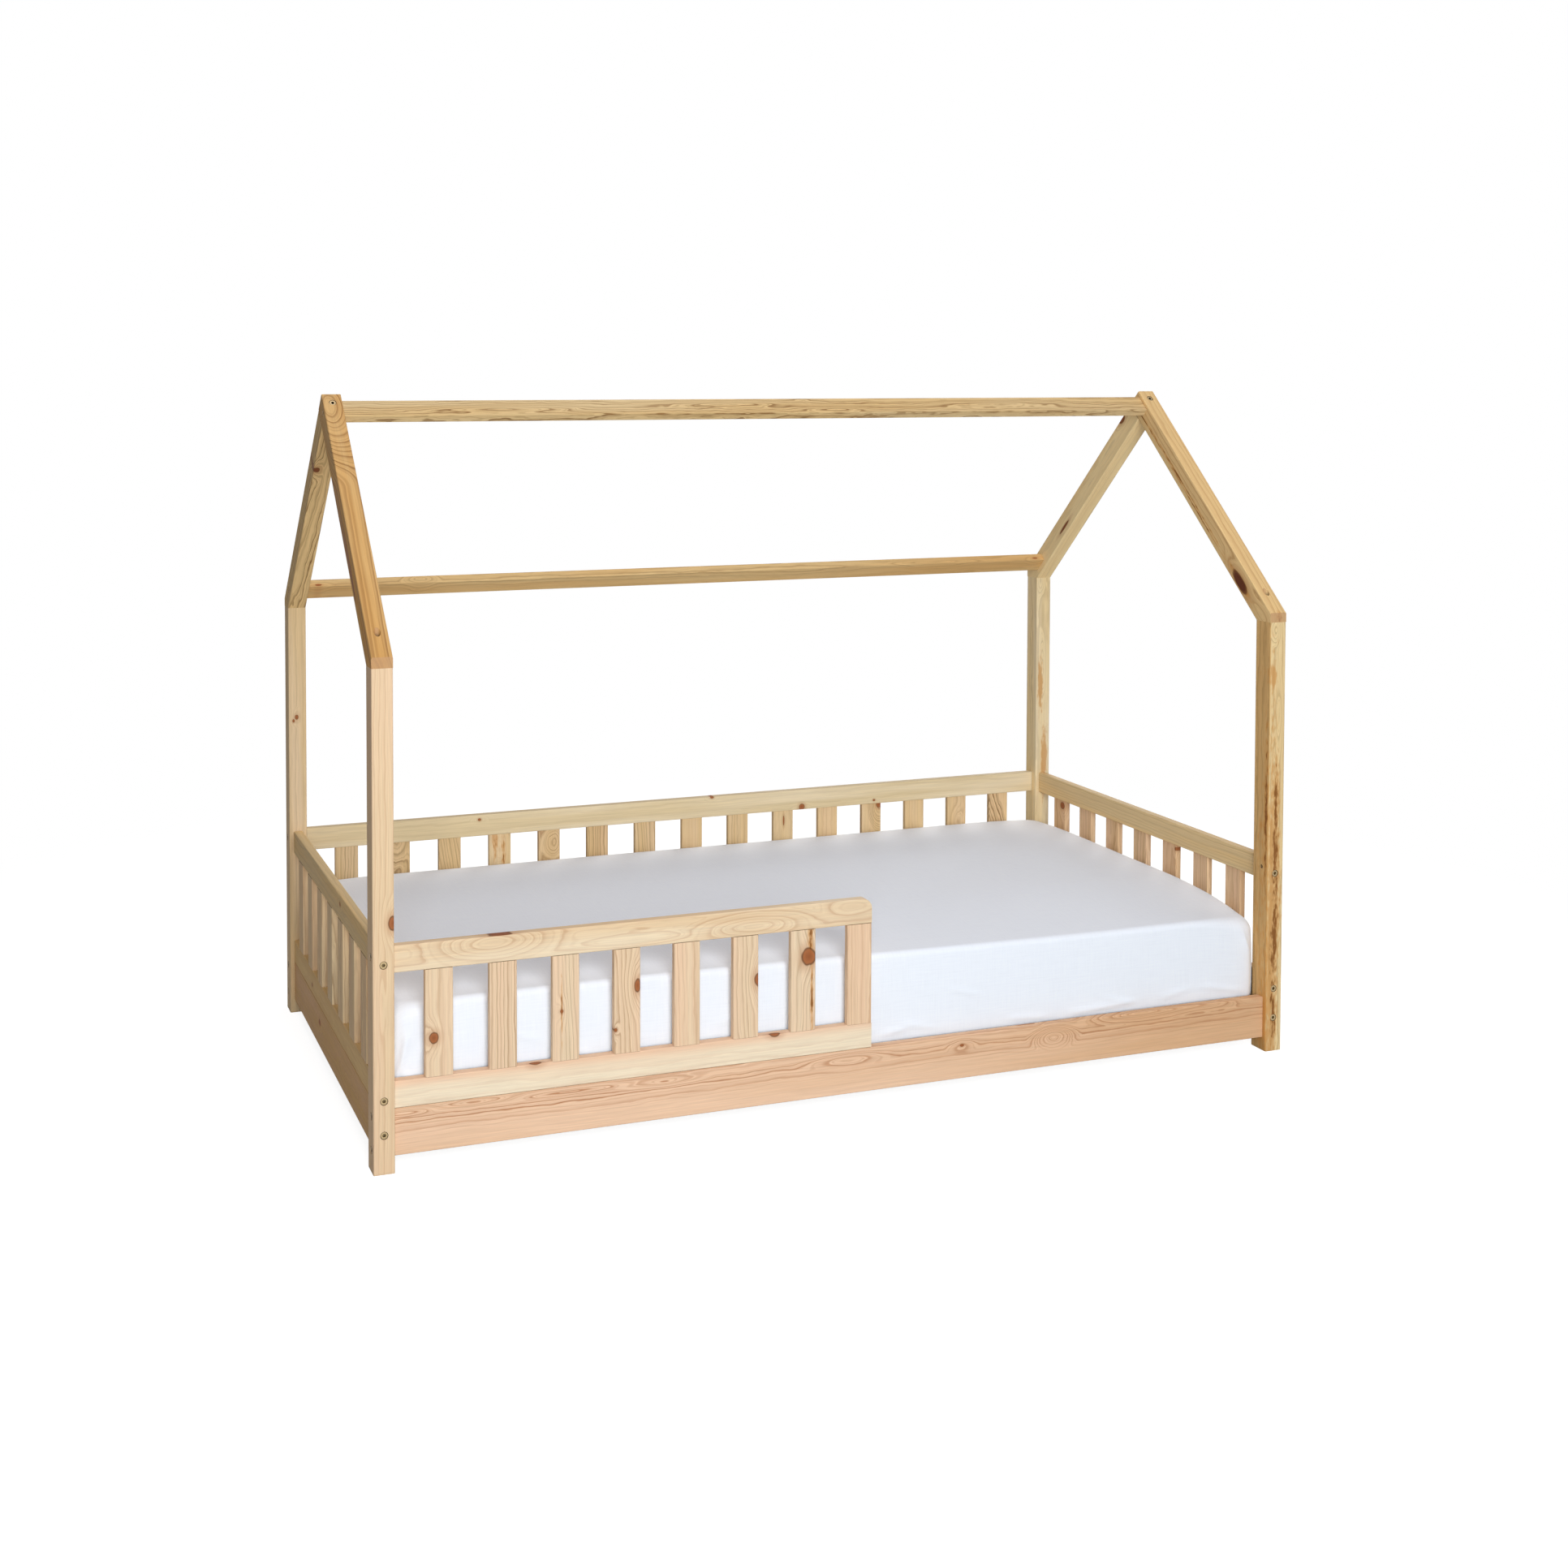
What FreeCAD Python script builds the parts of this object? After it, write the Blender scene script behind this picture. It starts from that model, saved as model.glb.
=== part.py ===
"""A child's house-frame floor bed in planed pine, with guard panels, a gable roof frame and a mattress.

Frame: origin on the floor under the middle of the bed, +X along the bed to the right,
+Y to the back, +Z up. Millimetres. Each board is built about its own middle, with its
length along one of the axes, and then moved to its place.
"""
import FreeCAD, Part
import Sketcher
import math
import os

Vector = FreeCAD.Vector

# Driving sizes: name, value, meaning
SIZES = (
    ("bed_length", 1980, "outer length over the posts"),
    ("bed_width", 980, "outer width over the posts"),
    ("timber_width", 40, "posts and rafters, along the bed"),
    ("timber_depth", 48, "posts and rafters, across the bed or square to the slope"),
    ("post_height", 926, "floor to post top"),
    ("roof_pitch", 43.7, "slope of the rafters in degrees"),
    ("arris", 2.5, "rounding of the long edges of the boards"),
    ("floor_gap", 28, "floor to underside of the bed rails"),
    ("bed_rail_height", 88, "bed rail"),
    ("rail_thickness", 20, "bed rails and guard rails"),
    ("rail_setback", 10, "outer post face to outer face of the long rails"),
    ("guard_rail_height", 50, "top and bottom rails of the guards"),
    ("guard_opening", 200, "between the guard rails"),
    ("half_guard_length", 966, "front guard, from the left post to its free end"),
    ("guard_corner", 20, "rounded free corner of the front guard"),
    ("slat_width", 53, "guard slat"),
    ("slat_thickness", 14, "guard slat"),
    ("back_slat_count", 15, "slats in the back guard"),
    ("end_slat_count", 7, "slats in each end guard"),
    ("front_slat_count", 8, "slats in the front guard, its end stile included"),
    ("front_first_gap", 59, "left post to the first slat of the front guard"),
    ("tenon_shoulder", 6, "edge of a slat to its tenon"),
    ("tenon_thickness", 8, "slat tenon"),
    ("tenon_length", 12, "slat tenon"),
    ("fit_gap", 0.1, "clearance all round a glued or screwed piece in its hole"),
    ("head_gap", 0.3, "clearance all round the head of a screw"),
    ("tip_gap", 2, "end of a bolt or screw to the end of its hole"),
    ("beam_width", 45, "ridge and eave beam, along the slope"),
    ("beam_thickness", 20, "ridge and eave beam, square to the slope"),
    ("ridge_drop", 10, "gable point to the ridge beam's upper edge, along the slope"),
    ("ridge_setback", 8, "front rafters' upper face to the ridge beam's face"),
    ("eave_reach", 58, "back face to the eave beam's middle, level"),
    ("eave_setback", 14, "back rafters' upper face to the eave beam's face"),
    ("bolt_diameter", 8, "bolt shank"),
    ("bolt_gap", 0.5, "clearance all round the shank of a bolt"),
    ("bolt_head", 13, "bolt head diameter"),
    ("bolt_head_height", 8, "bolt head height"),
    ("bolt_recess", 1, "bolt head below the face of the wood"),
    ("bolt_reach", 36, "bolt into the piece it holds"),
    ("bolt_socket", 7, "hexagon socket across its corners"),
    ("bolt_socket_depth", 4, "hexagon socket"),
    ("bolt_head_gap", 1, "clearance all round the head of a bolt"),
    ("bolt_stagger", 6, "end bolts below, and long bolts above, the middle of a guard rail"),
    ("bed_bolt_margin", 13, "edge of a bed rail to its long bolt"),
    ("insert_diameter", 12, "threaded insert, outside"),
    ("insert_length", 25, "threaded insert"),
    ("dowel_diameter", 8, "wooden dowels"),
    ("guard_dowel_depth", 20, "dowel in the bed rail, and in the guard above it"),
    ("back_dowel_count", 4, "dowels under the back guard"),
    ("end_dowel_count", 2, "dowels under each end guard"),
    ("front_dowel_count", 3, "dowels under the front guard"),
    ("guard_dowel_margin", 130, "end of a guard to its first dowel"),
    ("beam_dowel_depth", 12, "dowel in the rafter, and in the beam"),
    ("beam_dowel_offset", 12, "beam dowel above the beam's middle"),
    ("ridge_bolt_offset", 4, "ridge bolt below the beam's middle"),
    ("foot_dowel_depth", 20, "dowel in the post, and in the rafter foot"),
    ("foot_dowel_setback", 12, "outer face to the dowel in the rafter foot"),
    ("foot_screw_setback", 42, "outer face to the foot screw on the rafter's upper face"),
    ("foot_screw_tilt", 9, "lean of the foot screw in degrees"),
    ("foot_screw_diameter", 6, "foot screw shank"),
    ("foot_screw_head", 12, "foot screw head diameter"),
    ("foot_screw_head_height", 5, "foot screw head"),
    ("foot_screw_sink", 10, "foot screw head below the rafter's upper face"),
    ("foot_screw_length", 112, "foot screw with its head"),
    ("ledger_height", 30, "ledger along a bed rail"),
    ("ledger_thickness", 22, "ledger along a bed rail"),
    ("ledger_end_gap", 20, "post to the end of a ledger"),
    ("ledger_lift", 24, "underside of the bed rail to underside of the ledger"),
    ("base_slat_width", 70, "slat under the mattress"),
    ("base_slat_thickness", 18, "slat under the mattress"),
    ("base_slat_count", 13, "slats under the mattress"),
    ("base_slat_margin", 10, "ledger end to the first base slat"),
    ("base_slat_gap", 5, "bed rail to the end of a base slat"),
    ("screw_diameter", 4, "wood screw shank"),
    ("screw_head", 8, "wood screw head diameter"),
    ("screw_head_height", 3, "wood screw head"),
    ("screw_length", 35, "wood screw with its head"),
    ("mattress_gap", 10, "inner face of the rails to the mattress"),
    ("mattress_height", 196, "mattress at its border"),
    ("mattress_crown", 8, "rise of the mattress in its middle"),
    ("crown_flat", 90, "middle line of the mattress to the border of the crown's flat"),
    ("crown_shoulder", 6, "rise of the mattress half way to its middle"),
    ("mattress_corner", 62, "plan radius of the mattress corners"),
    ("mattress_edge", 28, "rounding of the mattress's upper edge"),
    ("mattress_waist", 4, "how far the mattress's sides are drawn in"),
    ("mattress_foot", 14, "rounding of the mattress's lower edge"),
    ("sheet_thickness", 1.2, "fitted sheet"),
    ("sheet_ease", 0.3, "between the mattress and its sheet"),
    ("sheet_rest", 0.3, "base slats to the sheet"),
    ("sheet_tuck", 90, "sheet turned under the mattress"),
)

doc = FreeCAD.newDocument("house_bed")
sheet = doc.addObject("Spreadsheet::Sheet", "Sizes")
for row, (name, size, meaning) in enumerate(SIZES, start=1):
    sheet.set(f"A{row}", meaning)
    sheet.set(f"B{row}", str(size))
    sheet.setAlias(f"B{row}", name)
doc.recompute()

# Derived places, as expressions of the driving sizes
HALF_LENGTH = "Sizes.bed_length / 2"
HALF_WIDTH = "Sizes.bed_width / 2"
POST_X = "(Sizes.bed_length - Sizes.timber_width) / 2"
POST_Y = "(Sizes.bed_width - Sizes.timber_depth) / 2"
INNER_LENGTH = "(Sizes.bed_length - 2 * Sizes.timber_width)"
INNER_WIDTH = "(Sizes.bed_width - 2 * Sizes.timber_depth)"
LONG_RAIL_Y = "(Sizes.bed_width / 2 - Sizes.rail_setback - Sizes.rail_thickness / 2)"
BED_RAIL_MID = "(Sizes.floor_gap + Sizes.bed_rail_height / 2)"
BED_RAIL_TOP = "(Sizes.floor_gap + Sizes.bed_rail_height)"
LOWER_RAIL_MID = f"({BED_RAIL_TOP} + Sizes.guard_rail_height / 2)"
SLAT_MID = f"({BED_RAIL_TOP} + Sizes.guard_rail_height + Sizes.guard_opening / 2)"
UPPER_RAIL_MID = f"({SLAT_MID} + Sizes.guard_opening / 2 + Sizes.guard_rail_height / 2)"
SLAT_OUTWARD = "(Sizes.rail_thickness - Sizes.slat_thickness) / 2"
TENON_INWARD = "((Sizes.slat_thickness - Sizes.tenon_thickness) / 2)"
TENON_FROM_RAIL = f"({SLAT_OUTWARD} - {TENON_INWARD})"
FRONT_GUARD_X = f"(-{HALF_LENGTH} + Sizes.timber_width + Sizes.half_guard_length / 2)"
TENON_WIDTH = "(Sizes.slat_width - 2 * Sizes.tenon_shoulder)"
MORTISE_WIDTH = f"({TENON_WIDTH} + 2 * Sizes.fit_gap)"
MORTISE_THICKNESS = "(Sizes.tenon_thickness + 2 * Sizes.fit_gap)"
MORTISE_DEPTH = "(Sizes.tenon_length + Sizes.fit_gap)"

# Heights of the bolts above the floor
END_BOLTS = (
    BED_RAIL_MID,
    f"({LOWER_RAIL_MID} - Sizes.bolt_stagger)",
    f"({UPPER_RAIL_MID} - Sizes.bolt_stagger)",
)
BED_BOLTS = (
    "(Sizes.floor_gap + Sizes.bed_bolt_margin)",
    f"({BED_RAIL_TOP} - Sizes.bed_bolt_margin)",
)
GUARD_BOLT = f"({UPPER_RAIL_MID} + Sizes.bolt_stagger)"
LONG_BOLTS = (*BED_BOLTS, GUARD_BOLT)

# Roof, from the outer face of a post inwards and from the post top upwards
PITCH = "Sizes.roof_pitch"
HEEL = f"(Sizes.timber_depth / cos({PITCH}) - Sizes.timber_depth * tan({PITCH}))"
POINT_RISE = f"({HEEL} + {HALF_WIDTH} * tan({PITCH}))"
CUT = f"(Sizes.timber_depth / sin(2 * {PITCH}))"
CUT_IN = f"({CUT} * cos({PITCH}))"
CUT_DOWN = f"({CUT} * sin({PITCH}))"
SCREW_RISE = f"({HEEL} + Sizes.foot_screw_setback * tan({PITCH}))"
SCREW_AT_POST = f"(Sizes.foot_screw_setback - {SCREW_RISE} * tan(Sizes.foot_screw_tilt))"
RIDGE_ALONG = "(Sizes.ridge_drop + Sizes.beam_width / 2)"
RIDGE_UNDER = "(Sizes.ridge_setback + Sizes.beam_thickness / 2)"
EAVE_RISE = f"""({HEEL} + Sizes.eave_reach * tan({PITCH})
    - (Sizes.eave_setback + Sizes.beam_thickness / 2) / cos({PITCH}))""".replace("\n", "")

# Bolts and the bed base
BOLT_HOLE = "(Sizes.bolt_diameter + 2 * Sizes.bolt_gap)"
BOLT_HEAD_HOLE = "(Sizes.bolt_head + 2 * Sizes.bolt_head_gap)"
BOLT_SEAT = "(Sizes.bolt_recess + Sizes.bolt_head_height)"
BOLT_TUNNEL = "(Sizes.bolt_reach + Sizes.tip_gap)"
INSERT_HOLE = "(Sizes.insert_diameter + 2 * Sizes.fit_gap)"
DOWEL_HOLE = "(Sizes.dowel_diameter + 2 * Sizes.fit_gap)"
# The end of a back rafter is not quite square to it, so the insert there lies a little deeper
GABLE_SINK = f"(Sizes.insert_diameter / 2 * abs(tan(90 - 2 * {PITCH})) + Sizes.fit_gap)"
LEDGER_LENGTH = f"({INNER_LENGTH} - 2 * Sizes.ledger_end_gap)"
LEDGER_Y = f"({LONG_RAIL_Y} - Sizes.rail_thickness / 2 - Sizes.ledger_thickness / 2)"
LEDGER_Z = "(Sizes.floor_gap + Sizes.ledger_lift + Sizes.ledger_height / 2)"
BASE_TOP = f"({LEDGER_Z} + Sizes.ledger_height / 2 + Sizes.base_slat_thickness)"
BASE_SPAN = f"({LEDGER_LENGTH} - 2 * Sizes.base_slat_margin - Sizes.base_slat_width)"
BASE_PITCH = f"({BASE_SPAN} / (Sizes.base_slat_count - 1))"
BASE_SLAT_LENGTH = f"(2 * {LONG_RAIL_Y} - Sizes.rail_thickness - 2 * Sizes.base_slat_gap)"
SCREW_HOLE = "(Sizes.screw_diameter + 2 * Sizes.fit_gap)"
SCREW_HEAD_HOLE = "(Sizes.screw_head + 2 * Sizes.head_gap)"
MATTRESS_LENGTH = f"(2 * ({POST_X} - Sizes.rail_thickness / 2 - Sizes.mattress_gap))"
MATTRESS_WIDTH = f"(2 * ({LONG_RAIL_Y} - Sizes.rail_thickness / 2 - Sizes.mattress_gap))"
MATTRESS_Z = f"({BASE_TOP} + Sizes.sheet_rest + Sizes.sheet_ease + Sizes.sheet_thickness)"

PLANES = {"X": "YZ_Plane", "Y": "XZ_Plane", "Z": "XY_Plane"}
ALONG_X = (Vector(0, 1, 0), "90")
AGAINST_X = (Vector(0, -1, 0), "90")
ALONG_Y = (Vector(-1, 0, 0), "90")
AGAINST_Y = (Vector(1, 0, 0), "90")
UPRIGHT = (Vector(1, 0, 0), "0")
DOWNWARD = (Vector(1, 0, 0), "180")
nodes = []


def number(expression):
    """The value of an expression of the driving sizes."""
    return float(sheet.evalExpression(expression))


def put(thing, x="0", y="0", z="0", turn=UPRIGHT):
    """Places a piece by expressions, turned about one axis by an expression in degrees."""
    axis, angle = turn
    thing.Placement = FreeCAD.Placement(Vector(), FreeCAD.Rotation(axis, number(angle)))
    for coordinate, expression in zip("xyz", (x, y, z)):
        thing.setExpression(f".Placement.Base.{coordinate}", expression)
    if "Sizes" in angle:
        thing.setExpression(".Placement.Rotation.Angle", angle)


def new_body(label, is_node=True):
    """An empty body; a node is written to its own file at the end."""
    body = doc.addObject("PartDesign::Body", label)
    body.Label = label
    if is_node:
        nodes.append(body)
    return body


def sketch_on(body, axis, at=("0", "0", "0"), tilt=None):
    """A sketch square to one axis of the body, its origin at a point of the body."""
    sketch = body.newObject("Sketcher::SketchObject", body.Name + "_sketch")
    plane = [f for f in body.Origin.OriginFeatures if f.Role == PLANES[axis]][0]
    sketch.AttachmentSupport = [(plane, "")]
    sketch.MapMode = "FlatFace"
    x, y, z = at
    offset = {"X": (y, z, x), "Y": (x, z, f"-({y})"), "Z": (x, y, z)}[axis]
    if tilt:
        side, angle = tilt
        turned = FreeCAD.Rotation(side, number(angle))
        sketch.AttachmentOffset = FreeCAD.Placement(Vector(), turned)
        sketch.setExpression(".AttachmentOffset.Rotation.Angle", angle)
    for coordinate, expression in zip("xyz", offset):
        sketch.setExpression(f".AttachmentOffset.Base.{coordinate}", expression)
    return sketch


def bind(sketch, kind, *where, to):
    """A dimension of a sketch, driven by an expression."""
    index = sketch.addConstraint(Sketcher.Constraint(kind, *where, number(to)))
    sketch.setExpression(f"Constraints[{index}]", to)


def rectangle(sketch, across, up, radius=None):
    """A rectangle about the sketch's origin, with rounded corners if a radius is given."""
    a, b = number(across) / 2, number(up) / 2
    r = number(radius) if radius else 0
    sides = (
        ((r - a, -b), (a - r, -b)),
        ((a, r - b), (a, b - r)),
        ((a - r, b), (r - a, b)),
        ((-a, b - r), (-a, r - b)),
    )
    for start, end in sides:
        sketch.addGeometry(Part.LineSegment(Vector(*start), Vector(*end)))
    for side in range(4):
        kind = "Vertical" if side % 2 else "Horizontal"
        sketch.addConstraint(Sketcher.Constraint(kind, side))
    if radius:
        middles = ((a - r, r - b), (a - r, b - r), (r - a, b - r), (r - a, r - b))
        for quarter, middle in enumerate(middles):
            circle = Part.Circle(Vector(*middle), Vector(0, 0, 1), r)
            end = quarter * math.pi / 2
            sketch.addGeometry(Part.ArcOfCircle(circle, end - math.pi / 2, end))
        for side in range(4):
            corner, following = 4 + side, (side + 1) % 4
            sketch.addConstraint(Sketcher.Constraint("Tangent", side, 2, corner, 1))
            sketch.addConstraint(Sketcher.Constraint("Tangent", corner, 2, following, 1))
        for corner in (5, 6, 7):
            sketch.addConstraint(Sketcher.Constraint("Equal", 4, corner))
        bind(sketch, "Radius", 4, to=radius)
        sketch.addConstraint(Sketcher.Constraint("Symmetric", 7, 3, 5, 3, -1, 1))
    else:
        for side in range(4):
            sketch.addConstraint(Sketcher.Constraint("Coincident", side, 2, (side + 1) % 4, 1))
        sketch.addConstraint(Sketcher.Constraint("Symmetric", 0, 1, 2, 1, -1, 1))
    bind(sketch, "DistanceX", 3, 1, 1, 1, to=across)
    bind(sketch, "DistanceY", 0, 1, 2, 1, to=up)


def outline(sketch, points):
    """A closed polygon whose corners are given from the sketch's origin, none of them negative."""
    corners = [Vector(number(x), number(y)) for x, y in points]
    count = len(corners)
    for i in range(count):
        sketch.addGeometry(Part.LineSegment(corners[i], corners[(i + 1) % count]))
    for i in range(count):
        sketch.addConstraint(Sketcher.Constraint("Coincident", i, 2, (i + 1) % count, 1))
    for i, (x, y) in enumerate(points):
        for kind, expression, axis_line in (("DistanceX", x, -2), ("DistanceY", y, -1)):
            if expression == "0":
                sketch.addConstraint(Sketcher.Constraint("PointOnObject", i, 1, axis_line))
            else:
                bind(sketch, kind, -1, 1, i, 1, to=expression)


def circles(sketch, diameter, along="V", distances=("0",)):
    """Equal circles on one axis of the sketch, at distances from its origin."""
    for i, distance in enumerate(distances):
        far = number(distance)
        middle = Vector(far, 0) if along == "H" else Vector(0, far)
        radius = number(diameter) / 2
        sketch.addGeometry(Part.Circle(middle, Vector(0, 0, 1), radius))
        if distance == "0":
            sketch.addConstraint(Sketcher.Constraint("Coincident", i, 3, -1, 1))
        else:
            axis_line = -1 if along == "H" else -2
            kind = "DistanceX" if along == "H" else "DistanceY"
            sketch.addConstraint(Sketcher.Constraint("PointOnObject", i, 3, axis_line))
            bind(sketch, kind, -1, 1, i, 3, to=distance)
        if i:
            sketch.addConstraint(Sketcher.Constraint("Equal", 0, i))
        else:
            bind(sketch, "Diameter", 0, to=diameter)


def pad(body, sketch, length):
    """Raises a sketch to a solid, half its length to either side of the sketch."""
    feature = body.newObject("PartDesign::Pad", body.Name + "_pad")
    feature.Profile = sketch
    feature.SideType = "Symmetric"
    feature.setExpression("Length", length)
    body.Tip = feature
    return feature


def pocket(body, sketch, depth=None):
    """Cuts a sketch into the body, to a depth on either side of it or right through."""
    feature = body.newObject("PartDesign::Pocket", body.Name + "_pocket")
    feature.Profile = sketch
    feature.SideType = "Symmetric"
    if depth:
        feature.setExpression("Length", f"2 * {depth}")
    else:
        feature.Type = "ThroughAll"
    body.Tip = feature
    return feature


def bore(body, axis, at, diameter, depth=None, along="V", distances=("0",), tilt=None):
    """Round holes in a row, along one axis of the body, through it or from a face to a depth."""
    sketch = sketch_on(body, axis, at, tilt)
    circles(sketch, diameter, along, distances)
    return pocket(body, sketch, depth)


def repeat(body, features, sketch, direction, length, count):
    """A row of copies of some features, over a length along one axis of a sketch."""
    row = body.newObject("PartDesign::LinearPattern", body.Name + "_row")
    row.Originals = features
    row.Direction = (sketch, [direction])
    row.Mode = "Extent"
    row.setExpression("Length", length)
    row.setExpression("Occurrences", count)
    body.Tip = row
    return row


def board(label, run, length, across, up):
    """A planed board about its own middle, its long edges rounded."""
    body = new_body(label)
    sketch = sketch_on(body, run)
    rectangle(sketch, across, up, "Sizes.arris")
    pad(body, sketch, length)
    return body


def group(label, piece, places):
    """Separate copies of one small piece, as one node."""
    copies = []
    for i, (x, y, z, turn) in enumerate(places, start=1):
        copy = doc.addObject("App::Link", f"{label}_{i}")
        copy.LinkedObject = piece
        put(copy, x, y, z, turn)
        copies.append(copy)
    compound = doc.addObject("Part::Compound", label)
    compound.Label = label
    compound.Links = copies
    nodes.append(compound)


def turned_piece(name, profile):
    """A piece turned about its own Z axis from a half profile of (radius, height)."""
    body = new_body(name, is_node=False)
    sketch = sketch_on(body, "Y")
    outline(sketch, profile)
    feature = body.newObject("PartDesign::Revolution", name + "_turned")
    feature.Profile = sketch
    feature.ReferenceAxis = (sketch, ["V_Axis"])
    body.Tip = feature
    return body


def headed_piece(name, head, head_height, shank, length, socket, socket_depth):
    """A bolt or screw: head at the origin, shank along +Z, hexagon socket in its head."""
    body = turned_piece(name, (
        ("0", "0"),
        (f"{head} / 2", "0"),
        (f"{head} / 2", head_height),
        (f"{shank} / 2", head_height),
        (f"{shank} / 2", length),
        ("0", length),
    ))
    sketch = sketch_on(body, "Z")
    ring = Part.Circle(Vector(), Vector(0, 0, 1), number(socket) / 2)
    corners = [ring.value(i * math.pi / 3) for i in range(6)]
    for i in range(6):
        sketch.addGeometry(Part.LineSegment(corners[i], corners[(i + 1) % 6]))
    sketch.addGeometry(ring, True)
    sketch.addConstraint(Sketcher.Constraint("Coincident", 6, 3, -1, 1))
    bind(sketch, "Diameter", 6, to=socket)
    for i in range(6):
        sketch.addConstraint(Sketcher.Constraint("Coincident", i, 2, (i + 1) % 6, 1))
        sketch.addConstraint(Sketcher.Constraint("PointOnObject", i, 1, 6))
    for i in range(1, 6):
        sketch.addConstraint(Sketcher.Constraint("Equal", 0, i))
    sketch.addConstraint(Sketcher.Constraint("PointOnObject", 0, 1, -1))
    pocket(body, sketch, socket_depth)
    return body


def sunk_bolt_holes(body, axis, face, at, along, distances):
    """Clearance holes right through, each with a counterbore in the given face."""
    bore(body, axis, at, BOLT_HOLE, None, along, distances)
    bore(body, axis, face, BOLT_HEAD_HOLE, BOLT_SEAT, along, distances)


def insert_holes(body, axis, face, along="V", distances=("0",)):
    """Holes in the end of a piece for threaded inserts and the bolts that go on past them."""
    bore(body, axis, face, INSERT_HOLE, "Sizes.insert_length", along, distances)
    bore(body, axis, face, BOLT_HOLE, BOLT_TUNNEL, along, distances)


def make_post(label, side_x, side_y, long_bolts, spare_holes=()):
    """A post; local -Y is its outer face across the bed, local outward X is given by side_x * side_y."""
    body = board(label, "Z", "Sizes.post_height", "Sizes.timber_width", "Sizes.timber_depth")
    foot = "-Sizes.post_height / 2"
    rail_y = "(-Sizes.timber_depth / 2 + Sizes.rail_setback + Sizes.rail_thickness / 2)"
    outward = "-" if side_x * side_y > 0 else ""
    outer_x = f"{outward}Sizes.timber_width / 2"
    sunk_bolt_holes(body, "X", (outer_x, rail_y, foot), ("0", rail_y, foot), "V", long_bolts)
    outer_y = "-Sizes.timber_depth / 2"
    sunk_bolt_holes(body, "Y", ("0", outer_y, foot), ("0", "0", foot), "V", END_BOLTS)
    if spare_holes:
        bore(body, "X", ("0", rail_y, foot), BOLT_HOLE, None, "V", spare_holes)
    top = "Sizes.post_height / 2"
    dowel_y = "(-Sizes.timber_depth / 2 + Sizes.foot_dowel_setback)"
    bore(body, "Z", ("0", dowel_y, top), DOWEL_HOLE, "Sizes.foot_dowel_depth")
    screw_y = f"(-Sizes.timber_depth / 2 + {SCREW_AT_POST})"
    pilot = f"""(Sizes.foot_screw_sink + Sizes.foot_screw_length
        - {SCREW_RISE} / cos(Sizes.foot_screw_tilt) + Sizes.tip_gap)""".replace("\n", "")
    bore(body, "Z", ("0", screw_y, top), "(Sizes.foot_screw_diameter + 2 * Sizes.fit_gap)", pilot,
         tilt=(Vector(-1, 0, 0), "Sizes.foot_screw_tilt"))
    turn = UPRIGHT if side_y < 0 else (Vector(0, 0, 1), "180")
    sign_x = "-" if side_x < 0 else ""
    sign_y = "-" if side_y < 0 else ""
    put(body, sign_x + POST_X, sign_y + POST_Y, "Sizes.post_height / 2", turn)


def dowel_row(length, count):
    """First dowel of a guard, from the middle of its length, and the steps to the others."""
    start = f"(-{length} / 2 + Sizes.guard_dowel_margin)"
    step = f"(({length} - 2 * Sizes.guard_dowel_margin) / ({count} - 1))"
    return start, [f"{i} * {step}" if i else "0" for i in range(int(number(count)))]


def make_bed_rail(label, run, sign, dowels, dowel_length, dowel_middle="0"):
    """A bed rail with inserts in its ends and dowel holes in its top edge."""
    length = INNER_LENGTH if run == "X" else INNER_WIDTH
    sizes = ("Sizes.rail_thickness", "Sizes.bed_rail_height")
    body = board(label, run, length, *sizes)
    half = f"{length} / 2"
    bolts = BED_BOLTS if run == "X" else (BED_RAIL_MID,)
    below = f"-{BED_RAIL_MID}"
    for end in (half, "-" + half):
        face = (end, "0", below) if run == "X" else ("0", end, below)
        insert_holes(body, run, face, "V", bolts)
    start, steps = dowel_row(dowel_length, dowels)
    first = f"({dowel_middle} + {start})"
    top = "Sizes.bed_rail_height / 2"
    at = (first, "0", top) if run == "X" else ("0", first, top)
    bore(body, "Z", at, DOWEL_HOLE, "Sizes.guard_dowel_depth", "H" if run == "X" else "V", steps)
    if run == "X":
        ledger_y = f"{'' if sign < 0 else '-'}Sizes.rail_thickness / 2"
        ledger_z = f"({LEDGER_Z} - {BED_RAIL_MID})"
        grip = "(Sizes.screw_length - Sizes.ledger_thickness + Sizes.tip_gap)"
        bore(body, "Y", (LEDGER_FIRST, ledger_y, ledger_z), SCREW_HOLE, grip, "H", LEDGER_SCREW_STEPS)
        put(body, "0", ("-" if sign < 0 else "") + LONG_RAIL_Y, BED_RAIL_MID)
    else:
        put(body, ("-" if sign < 0 else "") + POST_X, "0", BED_RAIL_MID)


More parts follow.
